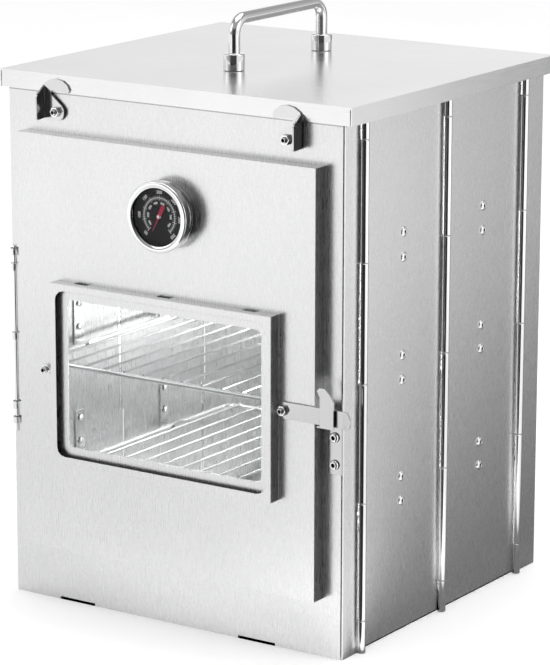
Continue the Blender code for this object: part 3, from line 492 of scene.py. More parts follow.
# %% Lid
seam_width = 0.0007
seam_below_top = 0.0016
lid_low, lid_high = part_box("lid")
lid = piece_from(solid_copy("lid"), "lid_sheet")
seams = []
for outer, inward in ((lid_high.x, -1), (lid_low.x, 1)):
    across = sorted((outer + inward * sheet, outer + inward * (sheet + seam_width)))
    for near, far in ((lid_low.y - sheet, lid_low.y + sheet * 1.5),
                      (lid_high.y - sheet * 1.5, lid_high.y + sheet)):
        seams.append(((across[0], near, lid_low.z - sheet),
                      (across[1], far, lid_high.z - seam_below_top)))
cut_out(lid, seams)
soften(lid, 0.0005, 3)
settle(lid, "lid", lid_steel, ["lid"])
print("lid:", len(lid.data.polygons), "faces before the bevel")

# %% Rear panel
notch_near, notch_wide, notch_tall = 0.2500, 0.0042, 0.0045
notches = []
for side in (1, -1):
    left, right = sorted((side * (wall_outer + sheet), side * wall_inner))
    notches.append(((left, notch_near, -sheet), (right, notch_near + notch_wide, notch_tall)))
rear = piece_from(solid_copy("rear_panel"), "rear_panel_sheet")
cut_out(rear, notches)
soften(rear, 0.0003)
settle(rear, "rear_wall", panel_steel, ["rear_panel"])

# %% [markdown]
# ## Rods along lines: hinge knuckles
#
# A piano hinge is rolled sheet round a pin, and its knuckles are all the same rod on one line, so a
# Geometry Nodes tree makes them: every line of the input becomes a rod, a little thinner at its
# two ends. The same tree serves the door's hinge. The result is turned into a plain mesh, because
# the export leaves instances and live trees behind.

# %% Helpers: Geometry Nodes trees
def geometry_tree(name, inputs):
    tree = bpy.data.node_groups.new(name, "GeometryNodeTree")
    tree.interface.new_socket("Geometry", in_out="INPUT", socket_type="NodeSocketGeometry")
    for title, kind, value in inputs + [("Material", "Material", None)]:
        socket = tree.interface.new_socket(title, in_out="INPUT", socket_type="NodeSocket" + kind)
        if value is not None:
            socket.default_value = value
    tree.interface.new_socket("Geometry", in_out="OUTPUT", socket_type="NodeSocketGeometry")
    return tree, tree.nodes.new("NodeGroupInput").outputs


def geo(tree, kind, inputs=None, **options):
    """The first output of a new geometry node."""
    return add(tree, "GeometryNode" + kind, inputs, **options).outputs[0]


def combined(tree, **parts):
    return add(tree, "ShaderNodeCombineXYZ", parts).outputs[0]


def round_bar(tree, curve, sides, radius, scale=1.0, caps=True):
    ring = geo(tree, "CurvePrimitiveCircle", {"Resolution": sides, "Radius": radius})
    return geo(tree, "CurveToMesh", {
        "Curve": curve, "Profile Curve": ring, "Scale": scale, "Fill Caps": caps})


def end_tree(tree, geometry, at):
    """Every tree ends in Realize Instances and Set Material."""
    real = geo(tree, "RealizeInstances", {"Geometry": geometry})
    painted = geo(tree, "SetMaterial", {"Geometry": real, "Material": at["Material"]})
    feed(tree, tree.nodes.new("NodeGroupOutput"), {"Geometry": painted})


def grown(name, tree, seed, values, body, finish, replaced=()):
    """Runs a tree on a seed mesh, with inputs set by name, and settles the plain mesh."""
    made = new_object(name, seed)
    step = made.modifiers.new(tree.name, "NODES")
    step.node_group = tree
    values = {"Material": finish[1], **values}
    for item in tree.interface.items_tree:
        if item.item_type == "SOCKET" and item.in_out == "INPUT" and item.name in values:
            step[item.identifier] = values[item.name]
    result = plain_mesh(made)
    made.modifiers.clear()
    made.data = result
    smooth(made, 35)
    print(name, len(result.polygons), "faces")
    return settle(made, body, finish, replaced)


def seed_points(points, directions=(), edges=()):
    """A bare mesh of points, with a direction to face at each."""
    mesh = bpy.data.meshes.new("seed")
    mesh.from_pydata([tuple(point) for point in points], list(edges), [])
    if directions:
        facing = mesh.attributes.new("facing", "FLOAT_VECTOR", "POINT")
        for item, direction in zip(facing.data, directions):
            item.vector = direction
    return mesh


# %% The tree: rods along lines
rods, at = geometry_tree("rods along lines", [
    ("Radius", "Float", 0.003), ("End share", "Float", 0.9), ("Sides", "Int", 28)])
line = geo(rods, "MeshToCurve", {"Mesh": at["Geometry"]})
share = geo(rods, "Switch", {
    "Switch": geo(rods, "CurveEndpointSelection"), "False": 1.0, "True": at["End share"]},
    input_type="FLOAT")
end_tree(rods, round_bar(rods, line, at["Sides"], at["Radius"], share), at)


def rod_lines(lines, chamfer):
    """Seed for the tree: each line is (start, end), with a point a chamfer's length from each."""
    points, edges = [], []
    for start, end in lines:
        start, end = Vector(start), Vector(end)
        inset = (end - start).normalized() * chamfer
        first = len(points)
        points += [start, start + inset, end - inset, end]
        edges += [(first + k, first + k + 1) for k in range(3)]
    return seed_points(points, edges=edges)


# %% Piano hinges
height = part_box("front_panel")[1].z
knuckle_radius, facet_room = 0.0030, 0.00007
knuckle_gap, knuckle_chamfer = 0.0004, 0.0003
end_knuckle, full_knuckles = 0.025, 4
hinge_x = 0.1522
first_line, middle_line, last_line = 0.0165, 0.1310, 0.2455
pitch = (height - 2 * end_knuckle) / full_knuckles
breaks = [0] + [end_knuckle + pitch * k for k in range(full_knuckles + 1)] + [height]


def knuckles(side, y, first):
    """Lines up one hinge, for every other knuckle from the given one."""
    x = side * hinge_x
    spans = list(zip(breaks, breaks[1:]))[first::2]
    return [((x, y, low + knuckle_gap), (x, y, high - knuckle_gap)) for low, high in spans]


hinge_owners = {"front_frame": [(-1, first_line, 1), (1, first_line, 1)],
                "rear_wall": [(-1, last_line, 0), (1, last_line, 0)]}
for place, near, far, first in (("front", first_line, middle_line, 0),
                                ("rear", middle_line, last_line, 1)):
    for side, word in sides:
        hinge_owners[f"{word}_{place}_wall"] = [(side, near, first), (side, far, first)]
for body, lines in hinge_owners.items():
    spans = [span for line in lines for span in knuckles(*line)]
    grown(body + "_knuckles", rods, rod_lines(spans, knuckle_chamfer),
          {"Radius": knuckle_radius + facet_room}, body, rolled_steel)

# %% [markdown]
# ## Turned pieces
#
# Rivets, studs, ferrules and the thermometer's case are turned on a lathe, so each is a half
# outline spun round an axis. The outline lists (radius, height) points. Where it starts on the axis
# the end closes to a point; otherwise it comes back round to its first point and makes a ring. A
# third number, if any, is painted shade in a bore: how near black the colour is painted there.

# %% Helpers: lathe
facing_front = Matrix.Rotation(math.radians(90), 4, "X")
facing_up = Matrix.Identity(4)


def polar(radius, angle, level=0):
    return Vector((radius * math.cos(angle), radius * math.sin(angle), level))


def lathe(profile, steps):
    """Spins an outline round the Z axis and returns the closed shape."""
    bm = bmesh.new()
    # The "hollow" layer holds painted shade: how near black each point's colour is painted.
    hollow = bm.verts.layers.float.new("hollow")
    rings = []
    for radius, level, *shade in profile:
        angles = [2 * math.pi * k / steps for k in range(steps)] if radius else [0]
        rings.append([bm.verts.new(polar(radius, angle, level)) for angle in angles])
        for vert in rings[-1]:
            vert[hollow] = sum(shade)
    pairs = list(zip(rings, rings[1:]))
    if profile[0][0] > 0:
        pairs.append((rings[-1], rings[0]))
    for above, below in pairs:
        for k in range(steps):
            n = (k + 1) % steps
            corners = [ring[step % len(ring)] for ring, step in (
                (above, k), (below, k), (below, n), (above, n))]
            bm.faces.new(list(dict.fromkeys(corners)))  # a closed end gives triangles
    bmesh.ops.recalc_face_normals(bm, faces=bm.faces)
    return bm


def round_edge(radius, level, bend, steps):
    """Outline points from the top of a round edge down to its side."""
    angles = [math.pi / 2 * k / steps for k in range(steps + 1)]
    return [(radius - bend + bend * math.sin(a), level - bend + bend * math.cos(a))
            for a in angles]


def turned(name, profile, place, body, replaced=(), steps=48, finish=bright_steel,
           way=facing_front):
    bm = lathe(profile, steps)
    bmesh.ops.transform(bm, matrix=Matrix.Translation(place) @ way, verts=bm.verts)
    made = piece_from(bm, name)
    smooth(made, 40)
    settle(made, body, finish, replaced)


# %% Studs
stud_radius, stud_tip, head_height, fine_edge = 0.0022, 0.0005, 0.0015, 0.0002


def stud_piece(node, body, collar=None):
    """A stud with a drilled end. A collar is its two heights and its radius."""
    low, high, middle = measured(node)
    length = high.y - low.y
    head = (high.x - low.x) / 2
    # The third numbers paint the drilled end dark as shade.
    profile = [(0, length - 0.0016, 1), (0.0009, length - 0.0017, 1), (0.0012, length - 0.0012, 1),
               (0.0013, length - 0.0002, 1), (0.0015, length, 0), (stud_radius - stud_tip, length),
               (stud_radius, length - stud_tip)]
    if collar:
        near, far, wide = collar
        profile += [(stud_radius, far), (wide - fine_edge, far), (wide, far - fine_edge),
                    (wide, near + fine_edge), (wide - fine_edge, near), (stud_radius, near)]
    profile += [(stud_radius, head_height), (head, head_height), (head, 0.0004),
                (head - 0.0006, 0), (0, 0)]
    turned(node + "_turned", profile, (middle.x, high.y, middle.z), body, [node])


collar_gap, collar_thick, collar_radius = 0.0003, 0.0010, 0.0038
collar_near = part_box("left_clamp_stud")[1].y - panel_face + collar_gap
collar = (collar_near, collar_near + collar_thick, collar_radius)
for ending, body, ring in (("_door_stud", "door", None), ("_clamp_stud", "front_frame", collar)):
    for side, word in sides:
        stud_piece(word + ending, body, ring)
print("studs turned")

# %% [markdown]
# ## Rivets
#
# Each bracket is held by two rivets, 24 in all, so a tree puts one turned rivet on every point, and
# turns it to face the way that the point says. Outside the wall there is a low dome with the small
# hole that the pulled mandrel leaves, inside there is a flat set head.

# %% The tree: pieces on points
on_points, at = geometry_tree("pieces on points", [("Piece", "Object", None)])
template = add(on_points, "GeometryNodeObjectInfo", {"Object": at["Piece"]}).outputs["Geometry"]
facing_way = geo(on_points, "InputNamedAttribute", {"Name": "facing"}, data_type="FLOAT_VECTOR")
turn = add(on_points, "FunctionNodeAlignRotationToVector", {"Vector": facing_way}, axis="Z")
placed = geo(on_points, "InstanceOnPoints", {
    "Points": at["Geometry"], "Instance": template, "Rotation": turn.outputs[0]})
end_tree(on_points, placed, at)

# %% Wall rivets
# The third numbers paint the mandrel hole and its edge dark as shade.
rivet_outline = [
    (0, 0.0008, 1), (0.0008, 0.0008, 1), (0.0010, 0.0013, 0.7), (0.0016, 0.0016, 0),
    (0.0024, 0.0015), (0.0032, 0.0011), (0.0038, 0.0006), (0.0040, 0.0001), (0.0040, 0), (0, 0)]
tail_outline = [
    (0, 0.0012), (0.0014, 0.0012), (0.0024, 0.0008), (0.0028, 0.0002), (0.0028, 0), (0, 0)]
rivet_template = piece_from(lathe(rivet_outline, 20), "rivet_template")
tail_template = piece_from(lathe(tail_outline, 16), "tail_template")
rivet_heights = (0.0136, 0.0324)
for side, wall in walls:
    for title, template, x, way in (
            ("_wall_rivets", rivet_template, side * wall_outer, side),
            ("_wall_rivet_tails", tail_template, side * (wall_inner - sheet), -side)):
        points = []
        for level in (1, 2, 3):
            low, high, middle = measured(f"{wall}_bracket_{level}")
            points += [(x, middle.y, low.z + sheet + rise) for rise in rivet_heights]
        grown(wall + title, on_points, seed_points(points, [(way, 0, 0)] * len(points)),
              {"Piece": template}, wall + "_wall", bright_steel)

# %% [markdown]
# ## Rack brackets
#
# A bracket is a strap bent into a hook at its foot. Its solid has its rivets on it, so a new strap
# is drawn from its bent centre line: an outline with round bends is pushed to the strap's width.

# %% Brackets
def bent_strip(centre_line, thickness, bend, steps=4):
    """The outline of a strip that follows corner points (u, v), with round bends."""
    points = [Vector(point) for point in centre_line]
    path = [points[0]]
    for before, corner, after in zip(points, points[1:], points[2:]):
        into = (corner - before).normalized()
        out = (after - corner).normalized()
        angle = into.angle(out)
        trim = bend * math.tan(angle / 2)
        start, end = corner - into * trim, corner + out * trim
        for k in range(steps + 1):
            share = k / steps
            path.append((1 - share) ** 2 * start + 2 * share * (1 - share) * corner
                        + share ** 2 * end)
    path.append(points[-1])
    left, right = [], []
    for k, point in enumerate(path):
        run = path[min(k + 1, len(path) - 1)] - path[max(k - 1, 0)]
        aside = Vector((-run.y, run.x)).normalized() * thickness / 2
        left.append(point + aside)
        right.append(point - aside)
    return left + right[::-1]


def pushed(outline, floors, near, far):
    """Strips of one outline, pushed from one y to another, one above each floor."""
    bm = bmesh.new()
    count = len(outline)
    for floor in floors:
        rings = [[bm.verts.new((u, y, v + floor)) for u, v in outline] for y in (near, far)]
        for k in range(count):
            n = (k + 1) % count
            bm.faces.new((rings[0][k], rings[0][n], rings[1][n], rings[1][k]))
        for ring in rings:
            for k in range(count // 2 - 1):
                bm.faces.new((ring[k], ring[k + 1], ring[count - 2 - k], ring[count - 1 - k]))
    bmesh.ops.recalc_face_normals(bm, faces=bm.faces)
    return bm


hook_tall, hook_bend, half = 0.0062, 0.0012, sheet / 2
for side, wall in walls:
    names = [f"{wall}_bracket_{level}" for level in (1, 2, 3)]
    low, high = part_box(names[0])
    back, hook = side * (wall_inner + half), side * (min(abs(low.x), abs(high.x)) + half)
    centre_line = [(back, high.z - low.z), (back, half), (hook, half), (hook, sheet + hook_tall)]
    outline = bent_strip(centre_line, sheet, hook_bend)
    made = piece_from(pushed(outline, [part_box(name)[0].z for name in names], low.y, high.y),
                      wall + "_brackets")
    soften(made, 0.0002, 1, 50)
    settle(made, wall + "_wall", small_steel, names)
print("12 brackets bent")

# %% [markdown]
# ## Wire racks
#
# A rack follows a rule: a rectangle of thick wire with round corners, and thin rungs welded across
# its top at one pitch. The tree takes the outer sizes, the two wires and the number of rungs.

# %% The tree: wire rack
rim_radius = 0.0020
rack, at = geometry_tree("wire rack", [
    ("Width", "Float", 0.274), ("Depth", "Float", 0.260), ("Corner", "Float", 0.012),
    ("Rim wire", "Float", rim_radius), ("Rung wire", "Float", 0.0011), ("Rungs", "Int", 15),
    ("Pitch", "Float", 0.0179), ("Rung rise", "Float", 0.0022), ("Place", "Vector", (0, 0, 0))])
rim = geo(rack, "CurvePrimitiveQuadrilateral", {"Width": at["Width"], "Height": at["Depth"]})
rim = geo(rack, "FilletCurve", {"Curve": rim, "Radius": at["Corner"], "Count": 10}, mode="POLY")
rim_wire = round_bar(rack, rim, 16, at["Rim wire"], caps=False)
half_run = product(rack, at["Depth"], 0.5)
rung = geo(rack, "CurvePrimitiveLine", {
    "Start": combined(rack, Y=product(rack, half_run, -1)), "End": combined(rack, Y=half_run)})
rung_wire = round_bar(rack, rung, 12, at["Rung wire"])
span = product(rack, maths(rack, "SUBTRACT", at["Rungs"], 1), at["Pitch"])
row = geo(rack, "MeshLine", {
    "Count": at["Rungs"], "Offset": combined(rack, X=at["Pitch"]),
    "Start Location": combined(rack, X=product(rack, span, -0.5), Z=at["Rung rise"])})
rungs = geo(rack, "InstanceOnPoints", {"Points": row, "Instance": rung_wire})
together = add(rack, "GeometryNodeJoinGeometry")
for part in (rungs, rim_wire):
    rack.links.new(part, together.inputs[0])
moved = geo(rack, "Transform", {"Geometry": together.outputs[0], "Translation": at["Place"]})
end_tree(rack, moved, at)

# %% Racks
for name in ("lower_rack", "upper_rack"):
    low, high, middle = measured(name)
    grown(name + "_wire", rack, seed_points([(0, 0, 0)]), {
        "Width": high.x - low.x - 2 * rim_radius, "Depth": high.y - low.y - 2 * rim_radius,
        "Place": (middle.x, middle.y, low.z + rim_radius)}, name, wire_steel, [name])

# %% [markdown]
# ## Handle and ferrules
#
# The handle is one bent bar. A curve with a round bevel gives an even tube, bent finely enough to
# mirror the studio without facets. Each foot stands in a turned ferrule on the lid.

# %% Handle
handle_low, handle_high, handle_middle = measured("lid_handle")
bar_radius = (handle_high.x - handle_low.x) / 2
bend, bend_steps = 0.012, 14
front_foot, rear_foot = handle_low.y + bar_radius, handle_high.y - bar_radius
bend_level = handle_high.z - bar_radius - bend
path = [(front_foot, handle_low.z)]
for foot, way, first in ((front_foot, 1, 180), (rear_foot, -1, 90)):
    for k in range(bend_steps + 1):
        angle = math.radians(first - 90 * k / bend_steps)
        path.append((foot + way * bend + bend * math.cos(angle),
                     bend_level + bend * math.sin(angle)))
path.append((rear_foot, handle_low.z))
curve = bpy.data.curves.new("handle", "CURVE")
curve.dimensions = "3D"
curve.bevel_depth = bar_radius
curve.bevel_resolution = 10
curve.use_fill_caps = True
spline = curve.splines.new("POLY")
spline.points.add(len(path) - 1)
for point, (y, z) in zip(spline.points, path):
    point.co = (handle_middle.x, y, z, 1)
rail = new_object("handle_rail", curve)
bm = bmesh.new()
bm.from_mesh(plain_mesh(rail))
bpy.data.objects.remove(rail)
bmesh.ops.remove_doubles(bm, verts=bm.verts, dist=doubled)
bmesh.ops.recalc_face_normals(bm, faces=bm.faces)
handle = piece_from(bm, "lid_handle_bar")
smooth(handle, 50)
settle(handle, "lid", bright_steel, ["lid_handle"])
print("handle:", len(handle.data.polygons), "faces")

# %% Ferrules
bore, bore_edge, foot_edge = bar_radius + 0.0001, 0.0003, 0.0004
for word in ("front", "rear"):
    node = word + "_handle_ferrule"
    low, high, middle = measured(node)
    radius, tall = (high.x - low.x) / 2, high.z - low.z
    profile = [(bore + bore_edge, tall)] + round_edge(radius, tall, 0.0009, 3)
    profile += [(radius, foot_edge), (radius - foot_edge, 0), (bore, 0), (bore, tall - bore_edge)]
    turned(node + "_turned", profile, (middle.x, middle.y, low.z), "lid", [node], 64,
           way=facing_up)
print("ferrules turned")

# %% [markdown]
# ## Thermometer
#
# The case and the bezel are turned and polished, so they are spun with many steps. The face is
# black enamel with a pale double scale: a ring, ticks outside and inside it with a longer one at
# every fifth, and plain numbers. Ticks are equal shapes at equal angles, so a tree makes them.

# %% Case, bezel, dial and lens
case_low, case_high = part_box("thermometer_case")
bezel_low, bezel_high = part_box("thermometer_bezel")
dial_low, dial_high, dial_middle = measured("thermometer_dial")
case_gap = 0.0003
door_face = case_high.y + case_gap
dial_place = (dial_middle.x, door_face, dial_middle.z)
dial_face, case_depth = door_face - dial_low.y, door_face - case_low.y
radius, inner, opening = (bezel_high.x - bezel_low.x) / 2, 0.0243, 0.0217
top, foot = door_face - bezel_low.y, door_face - bezel_high.y
bezel = [(opening, top - 0.0012), (opening, top - 0.0006), (opening + 0.0003, top - 0.0003),
         (opening + 0.0024, top)] + round_edge(radius, top, 0.0014, 5)
bezel += [(radius, foot + 0.0003), (radius - 0.0003, foot), (inner, foot), (inner, top - 0.0012)]
turned("thermometer_bezel_turned", bezel, dial_place, "door", ["thermometer_bezel"], 96)
rim = (case_high.x - case_low.x) / 2
case = [(0.0240, case_depth), (0.0240, 0.0036), (rim - 0.0004, 0.0033), (rim, 0.0029),
        (rim, 0.0008), (rim - 0.0005, case_gap), (0.0042, case_gap), (0.0042, 0.0013),
        (0.0214, 0.0013), (0.0214, dial_face - 0.0011), (0.0230, dial_face - 0.0011),
        (0.0230, case_depth)]
turned("thermometer_case_turned", case, dial_place, "door", ["thermometer_case"], 96, case_steel_and_shade)
for node, ending, finish in (("thermometer_dial", "_plate", dial_enamel),
                             ("thermometer_lens", "_disc", lens_glass)):
    low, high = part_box(node)
    radius, top, back = (high.x - low.x) / 2, door_face - low.y, door_face - high.y
    turned(node + ending, [(0, top), (radius, top), (radius, back), (0, back)], dial_place, "door",
           [node], 96, finish)
print("dial face is", round((dial_high.x - dial_low.x) * 1000, 1), "mm across")

# %% The tree: scale ticks
scale_radius, scale_start, scale_sweep = 0.0138, 228.0, 276.0
ticks, at = geometry_tree("scale ticks", [
    ("Count", "Int", 41), ("Radius", "Float", scale_radius), ("Start", "Float", scale_start),
    ("Sweep", "Float", scale_sweep), ("Tick", "Vector", (0.00022, 0.0013, 0.00006)),
    ("Long every", "Int", 5), ("Long share", "Float", 1.7)])
marks = geo(ticks, "MeshLine", {"Count": at["Count"], "Offset": (0, 0, 0)})
index = geo(ticks, "InputIndex")
run = maths(ticks, "DIVIDE", index, maths(ticks, "SUBTRACT", at["Count"], 1))
clockwise = maths(ticks, "SUBTRACT", at["Start"], product(ticks, run, at["Sweep"]))
angle = product(ticks, clockwise, math.pi / 180)
spot = combined(ticks, X=product(ticks, maths(ticks, "COSINE", angle), at["Radius"]),
                Y=product(ticks, maths(ticks, "SINE", angle), at["Radius"]))
round_marks = geo(ticks, "SetPosition", {"Geometry": marks, "Position": spot})
turned_by = add(ticks, "FunctionNodeAxisAngleToRotation", {
    "Axis": (0, 0, 1), "Angle": maths(ticks, "SUBTRACT", angle, math.pi / 2)})
is_long = maths(ticks, "COMPARE", maths(ticks, "MODULO", index, at["Long every"]))
extra = product(ticks, is_long, maths(ticks, "SUBTRACT", at["Long share"], 1))
size = maths(ticks, "ADD", 1, extra)
placed = geo(ticks, "InstanceOnPoints", {
    "Points": round_marks, "Instance": geo(ticks, "MeshCube", {"Size": at["Tick"]}),
    "Rotation": turned_by.outputs[0], "Scale": combined(ticks, X=size, Y=size, Z=1.0)})
end_tree(ticks, placed, at)

# %% Scale and numbers
print_height, tick_aside = 0.00004, 0.0008
on_dial = Matrix.Translation((dial_place[0], dial_low.y - print_height, dial_place[2]))
on_dial = on_dial @ facing_front
for name, aside in (("outer_ticks", tick_aside), ("inner_ticks", -tick_aside)):
    made = grown(name, ticks, seed_points([(0, 0, 0)]), {"Radius": scale_radius + aside},
                 "door", dial_print)
    made.data.transform(on_dial)
numbers = bmesh.new()
ring_half, ring_steps = 0.0002, 72
for k in range(ring_steps):
    start, end = [math.radians(scale_start - scale_sweep * n / ring_steps) for n in (k, k + 1)]
    numbers.faces.new([
        numbers.verts.new(on_dial @ polar(scale_radius + aside, angle)) for angle, aside in (
            (start, -ring_half), (start, ring_half), (end, ring_half), (end, -ring_half))])


def print_number(number, share, radius, size):
    """One number, upright along the arc, at a share of the scale's sweep."""
    turn = math.radians(scale_start - scale_sweep * share)
    text = bpy.data.curves.new("number", "FONT")
    text.body = str(number)
    text.size = size
    text.offset = 0.00006
    text.align_x, text.align_y = "CENTER", "CENTER"
    word = new_object("number", text)
    mesh = plain_mesh(word)
    bpy.data.objects.remove(word)
    upright_on_arc = Matrix.Rotation(turn - math.pi / 2, 4, "Z")
    mesh.transform(on_dial @ Matrix.Translation(polar(radius, turn)) @ upright_on_arc)
    numbers.from_mesh(mesh)
    bpy.data.meshes.remove(mesh)


for k in range(7):
    print_number(50 + 50 * k, k / 6, 0.0179, 0.0033)
for k in range(8):
    print_number(100 + 100 * k, (k + 0.4) / 7.9, 0.0100, 0.0025)
bmesh.ops.remove_doubles(numbers, verts=numbers.verts, dist=doubled / 2)
settle(piece_from(numbers, "dial_numbers"), "door", dial_print)

# %% Needle
folded("thermometer_needle", "needle", needle_paint, 0.0001, 1, 50)
hub_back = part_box("thermometer_needle")[0].y + 0.0012
hub = [(0, 0.0014), (0.0008, 0.0014), (0.0014, 0.0011), (0.0017, 0.0006), (0.0017, 0), (0, 0)]
turned("thermometer_needle_hub", hub, (dial_place[0], hub_back, dial_place[2]), "needle", (), 32,
       hub_paint)
print("needle laid on the dial")

# %% [markdown]
# ## Fasteners of the keeper and the door's hinge pin
#
# The keeper is held by two hollow rivets, whose bright rolled rims ring a hole painted dark as
# shade. The door's hinge pin is a plain rod with a chamfer at each end, in five short knuckles.

# %% Keeper rivets
for number in (1, 2):
    node = f"keeper_rivet_{number}"
    low, high, middle = measured(node)
    length, head, bore = high.y - low.y, (high.x - low.x) / 2, 0.0017
    # The third numbers paint the hole dark as shade.
    profile = [(0, length - 0.0017, 1), (0.0013, length - 0.0016, 1), (0.0014, length - 0.0006, 1),
               (bore, length - 0.0001, 0), (0.0025, length), (0.0033, length - 0.0005),
               (head, length - 0.0013), (head, length - 0.0020), (bore, length - 0.0021),
               (bore, 0.0015), (0.0028, 0.0015), (0.0028, 0.0004), (0.0022, 0), (0, 0)]
    turned(node + "_turned", profile, (middle.x, high.y, middle.z), "front_frame", [node], 40)
print("hollow rivets set")

# %% Door hinge pin and knuckles
pin_low, pin_high, pin = measured("door_hinge_pin")
door_low, door_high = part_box("door_panel")
pin_radius, lug_radius, chamfer = 0.0016, 0.0034, 0.0004


def on_pin(low, high):
    return (pin.x, pin.y, low), (pin.x, pin.y, high)


grown("door_hinge_pin_bar", rods, rod_lines([on_pin(pin_low.z, pin_high.z)], chamfer),
      {"Radius": pin_radius, "End share": 0.75, "Sides": 24},
      "front_frame", bright_steel, ["door_hinge_pin"])
for name, shares, half, body in (("frame_knuckles", (0.708, 0.297), 0.0025, "front_frame"),
                                 ("door_knuckles", (0.671, 0.503, 0.334), 0.003, "door")):
    heights = [door_low.z + (door_high.z - door_low.z) * share for share in shares]
    grown(name, rods, rod_lines([on_pin(z - half, z + half) for z in heights], chamfer),
          {"Radius": lug_radius}, body, small_steel)

# %% [markdown]
# ## Pieces that keep their solids
#
# The glass, the hinge pins, the screws under the lid and the thermometer's stem already have the
# right shape, and hardly show. They only get a finish.

# %% Finishes of the kept solids
bright = [f"{word}_{line}_pin" for side, word in sides for line in ("front", "middle", "rear")]
bright += ["front_handle_screw", "rear_handle_screw", "thermometer_stem"]
for name, finish in [("window_glass", window_glass)] + [(name, bright_steel) for name in bright]:
    nodes[name].data.materials.clear()
    nodes[name].data.materials.append(finish[1])
print("finished as they are:", len(bright) + 1)
for template in (rivet_template, tail_template):
    bpy.data.objects.remove(template)

# %% [markdown]
# ## The studio
#
# Polished and brushed steel show what stands round them more than they show their own colour. A
# pale floor and a white surround light the oven evenly. For reflections alone, the surround has
# levels by compass direction, as with the white and black boards of a real studio: a black board in
# front and to its right draws the dark lines down round bars and knuckles, a dim one stands at the
# front left, white boards left and right draw the bright lines, and a grey board at the back right
# keeps the side walls darker than the door. For reflections alone, the floor has painted shade: it
# is painted darker round the oven, where the oven's own reflection would be, and everywhere it is
# painted black under the oven, as painted shadow. Reflections seen through the window are dimmed
# too, and two small lamps that the camera doesn't see light the racks and the back wall.

# %% Helpers: boards round the oven
def stepped(tree, share, levels, full=1.0):
    """A level by a share from 0 to 1. Levels are (share, level), blended in between."""
    ramp = add(tree, "ShaderNodeValToRGB", {0: share})
    stops = ramp.color_ramp.elements
    for place, level in levels[1:-1]:
        stops.new(place)
    for stop, (place, level) in zip(stops, levels):
        stop.color = (*grey(level), 1)
    return product(tree, ramp.outputs["Color"], full)


def boards(tree, direction, levels):
    """A level by compass direction. Levels are (degrees, level), 0 in front, 90 on the right."""
    parts = add(tree, "ShaderNodeSeparateXYZ", {0: direction}).outputs
    bearing = maths(tree, "ARCTAN2", parts["X"], product(tree, parts["Y"], -1))
    share = ranged(tree, bearing, 0, 1, -math.pi, math.pi)
    return stepped(tree, share, [((degrees + 180) / 360, level) for degrees, level in levels],
                   full_white)


def dimmed_inside(tree, path):
    """Less light for a ray that has passed both faces of a clear pane."""
    inside = maths(tree, "GREATER_THAN", path["Transparent Depth"], 1.5)
    return ranged(tree, inside, 1.0, 0.35, 0, 1)


full_white, full_near = 1.15, 1.2
wall_boards = [(-180, 0.80), (-150, 0.88), (-136, 0.76), (-60, 0.80), (-48, 0.50), (-30, 0.36),
               (-10, 0.25), (-2, 0.05), (58, 0.05), (66, 0.80), (122, 0.80), (150, 0.45),
               (165, 0.35), (180, 0.80)]
# Painted shade on the floor, seen in reflections only: levels by bearing from the oven's corner, and
# below, by distance from it.
floor_boards = [(-180, 0.25), (-166, 0.40), (-150, 0.60), (-100, 0.92), (-72, 0.95), (-60, 0.86),
                (-50, 0.83), (-42, 0.92), (-34, 1.0), (-16, 0.95), (-6, 0.02), (58, 0.02),
                (66, 1.0), (128, 1.0), (145, 0.92), (149, 0.74), (153, 0.29), (158, 0.16),
                (162, 0.24), (168, 0.18), (180, 0.22)]
floor_reach = 1.7
floor_nearness = [(0.0, 1.0), (0.10, 0.97), (0.20, 0.72), (0.30, 0.69), (0.50, 0.70),
                  (0.68, 0.80), (0.76, 0.84), (0.94, 0.97), (1.0, 1.0)]

# %% World
world = bpy.data.worlds.new("studio")
world.use_nodes = True
scene.world = world
tree = world.node_tree
path = add(tree, "ShaderNodeLightPath").outputs
direction = add(tree, "ShaderNodeTexCoord").outputs["Generated"]
plain, overhead = 0.80, 0.40
around = product(tree, boards(tree, direction, wall_boards), dimmed_inside(tree, path))
upwards = ranged(tree, coordinate(tree, "Generated", "Z"), 0, 1, 0.36, 0.50)
reflected = blend(tree, upwards, around, overhead)
lit = blend(tree, path["Is Glossy Ray"], plain, reflected)
white = maths(tree, "MAXIMUM", path["Is Camera Ray"], path["Is Transmission Ray"])
feed(tree, tree.nodes["Background"], {
    "Color": (1, 1, 1, 1), "Strength": blend(tree, white, lit, 1.0)})

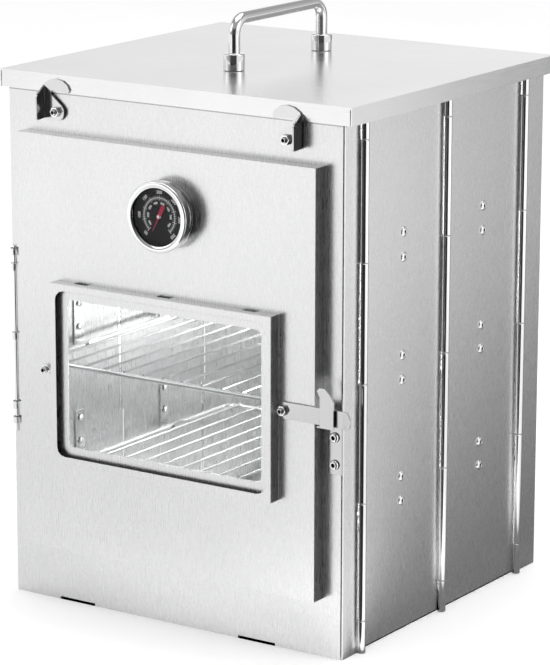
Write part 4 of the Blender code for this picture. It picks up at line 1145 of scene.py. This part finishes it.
# %% Floor
bm = bmesh.new()
bmesh.ops.create_grid(bm, x_segments=1, y_segments=1, size=15)
floor = piece_from(bm, "floor")
floor_paint, tree, shader = new_material("floor paint")
floor.data.materials.append(floor_paint)
pale, backdrop_glow = 0.86, 0.25
path = add(tree, "ShaderNodeLightPath").outputs
place = add(tree, "ShaderNodeTexCoord").outputs["Object"]
from_corner = add(tree, "ShaderNodeVectorMath", {
    0: place, 1: (wall_outer, panel_face, 0)}, operation="SUBTRACT").outputs["Vector"]
distance = add(tree, "ShaderNodeVectorMath", {0: from_corner}, operation="LENGTH").outputs["Value"]
nearness = stepped(tree, ranged(tree, distance, 0, 1, 0, floor_reach), floor_nearness, full_near)
reflected = product(
    tree, boards(tree, from_corner, floor_boards), nearness, dimmed_inside(tree, path))
level = blend(tree, path["Is Glossy Ray"], pale, reflected)
mottled = ranged(tree, grain(tree, (2, 2, 2)), 0.97, 1.0)
across, back = coordinate(tree, "Object", "X"), coordinate(tree, "Object", "Y")
# Painted shadow: the floor is painted black under the oven, and its glow stops there.
under = product(
    tree, maths(tree, "LESS_THAN", maths(tree, "ABSOLUTE", across), wall_inner),
    maths(tree, "GREATER_THAN", back, panel_face),
    maths(tree, "LESS_THAN", back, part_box("rear_panel")[1].y))
open_floor = maths(tree, "SUBTRACT", 1, under)
tone = product(tree, level, mottled, open_floor)
feed(tree, shader, {
    "Base Color": combined(tree, X=tone, Y=tone, Z=tone), "Roughness": 0.9,
    "Specular IOR Level": 0.0, "Emission Color": (1, 1, 1, 1),
    "Emission Strength": product(tree, path["Is Camera Ray"], backdrop_glow, open_floor)})
floor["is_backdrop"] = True

# %% Lamps
def soft_box(name, place, aim, size, power, shown=True):
    lamp = bpy.data.lights.new(name, "AREA")
    lamp.shape = "SQUARE"
    lamp.size = size
    lamp.energy = power
    made = new_object(name, lamp)
    made.matrix_world = aimed(place, aim)
    made.visible_camera = shown


soft_box("front left box", (-1.6, -1.4, 1.5), (0, 0, 0.25), 1.4, 7)
soft_box("oven side box", (0.138, 0.09, 0.15), (-0.15, 0.09, 0.15), 0.14, 0.62, False)
soft_box("oven top box", (0.03, 0.08, 0.345), (-0.15, 0.15, 0.20), 0.10, 0.50, False)
soft_box("top box", (0.1, 0.3, 2.4), (0, 0.13, 0.2), 2.0, 22)
soft_box("right box", (1.9, 0.3, 1.1), (0, 0.1, 0.2), 1.0, 4)
print("five soft boxes")

# %% Levels of the view
scene.view_settings.view_transform = "Standard"

# %% [markdown]
# ## Last: sizes
#
# The finished pieces must stay inside the box of the solids, so the size of their box is printed.

# %% Finish
low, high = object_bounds()
print("finished:", [round((b - a) * 1000, 1) for a, b in zip(low, high)], "mm")
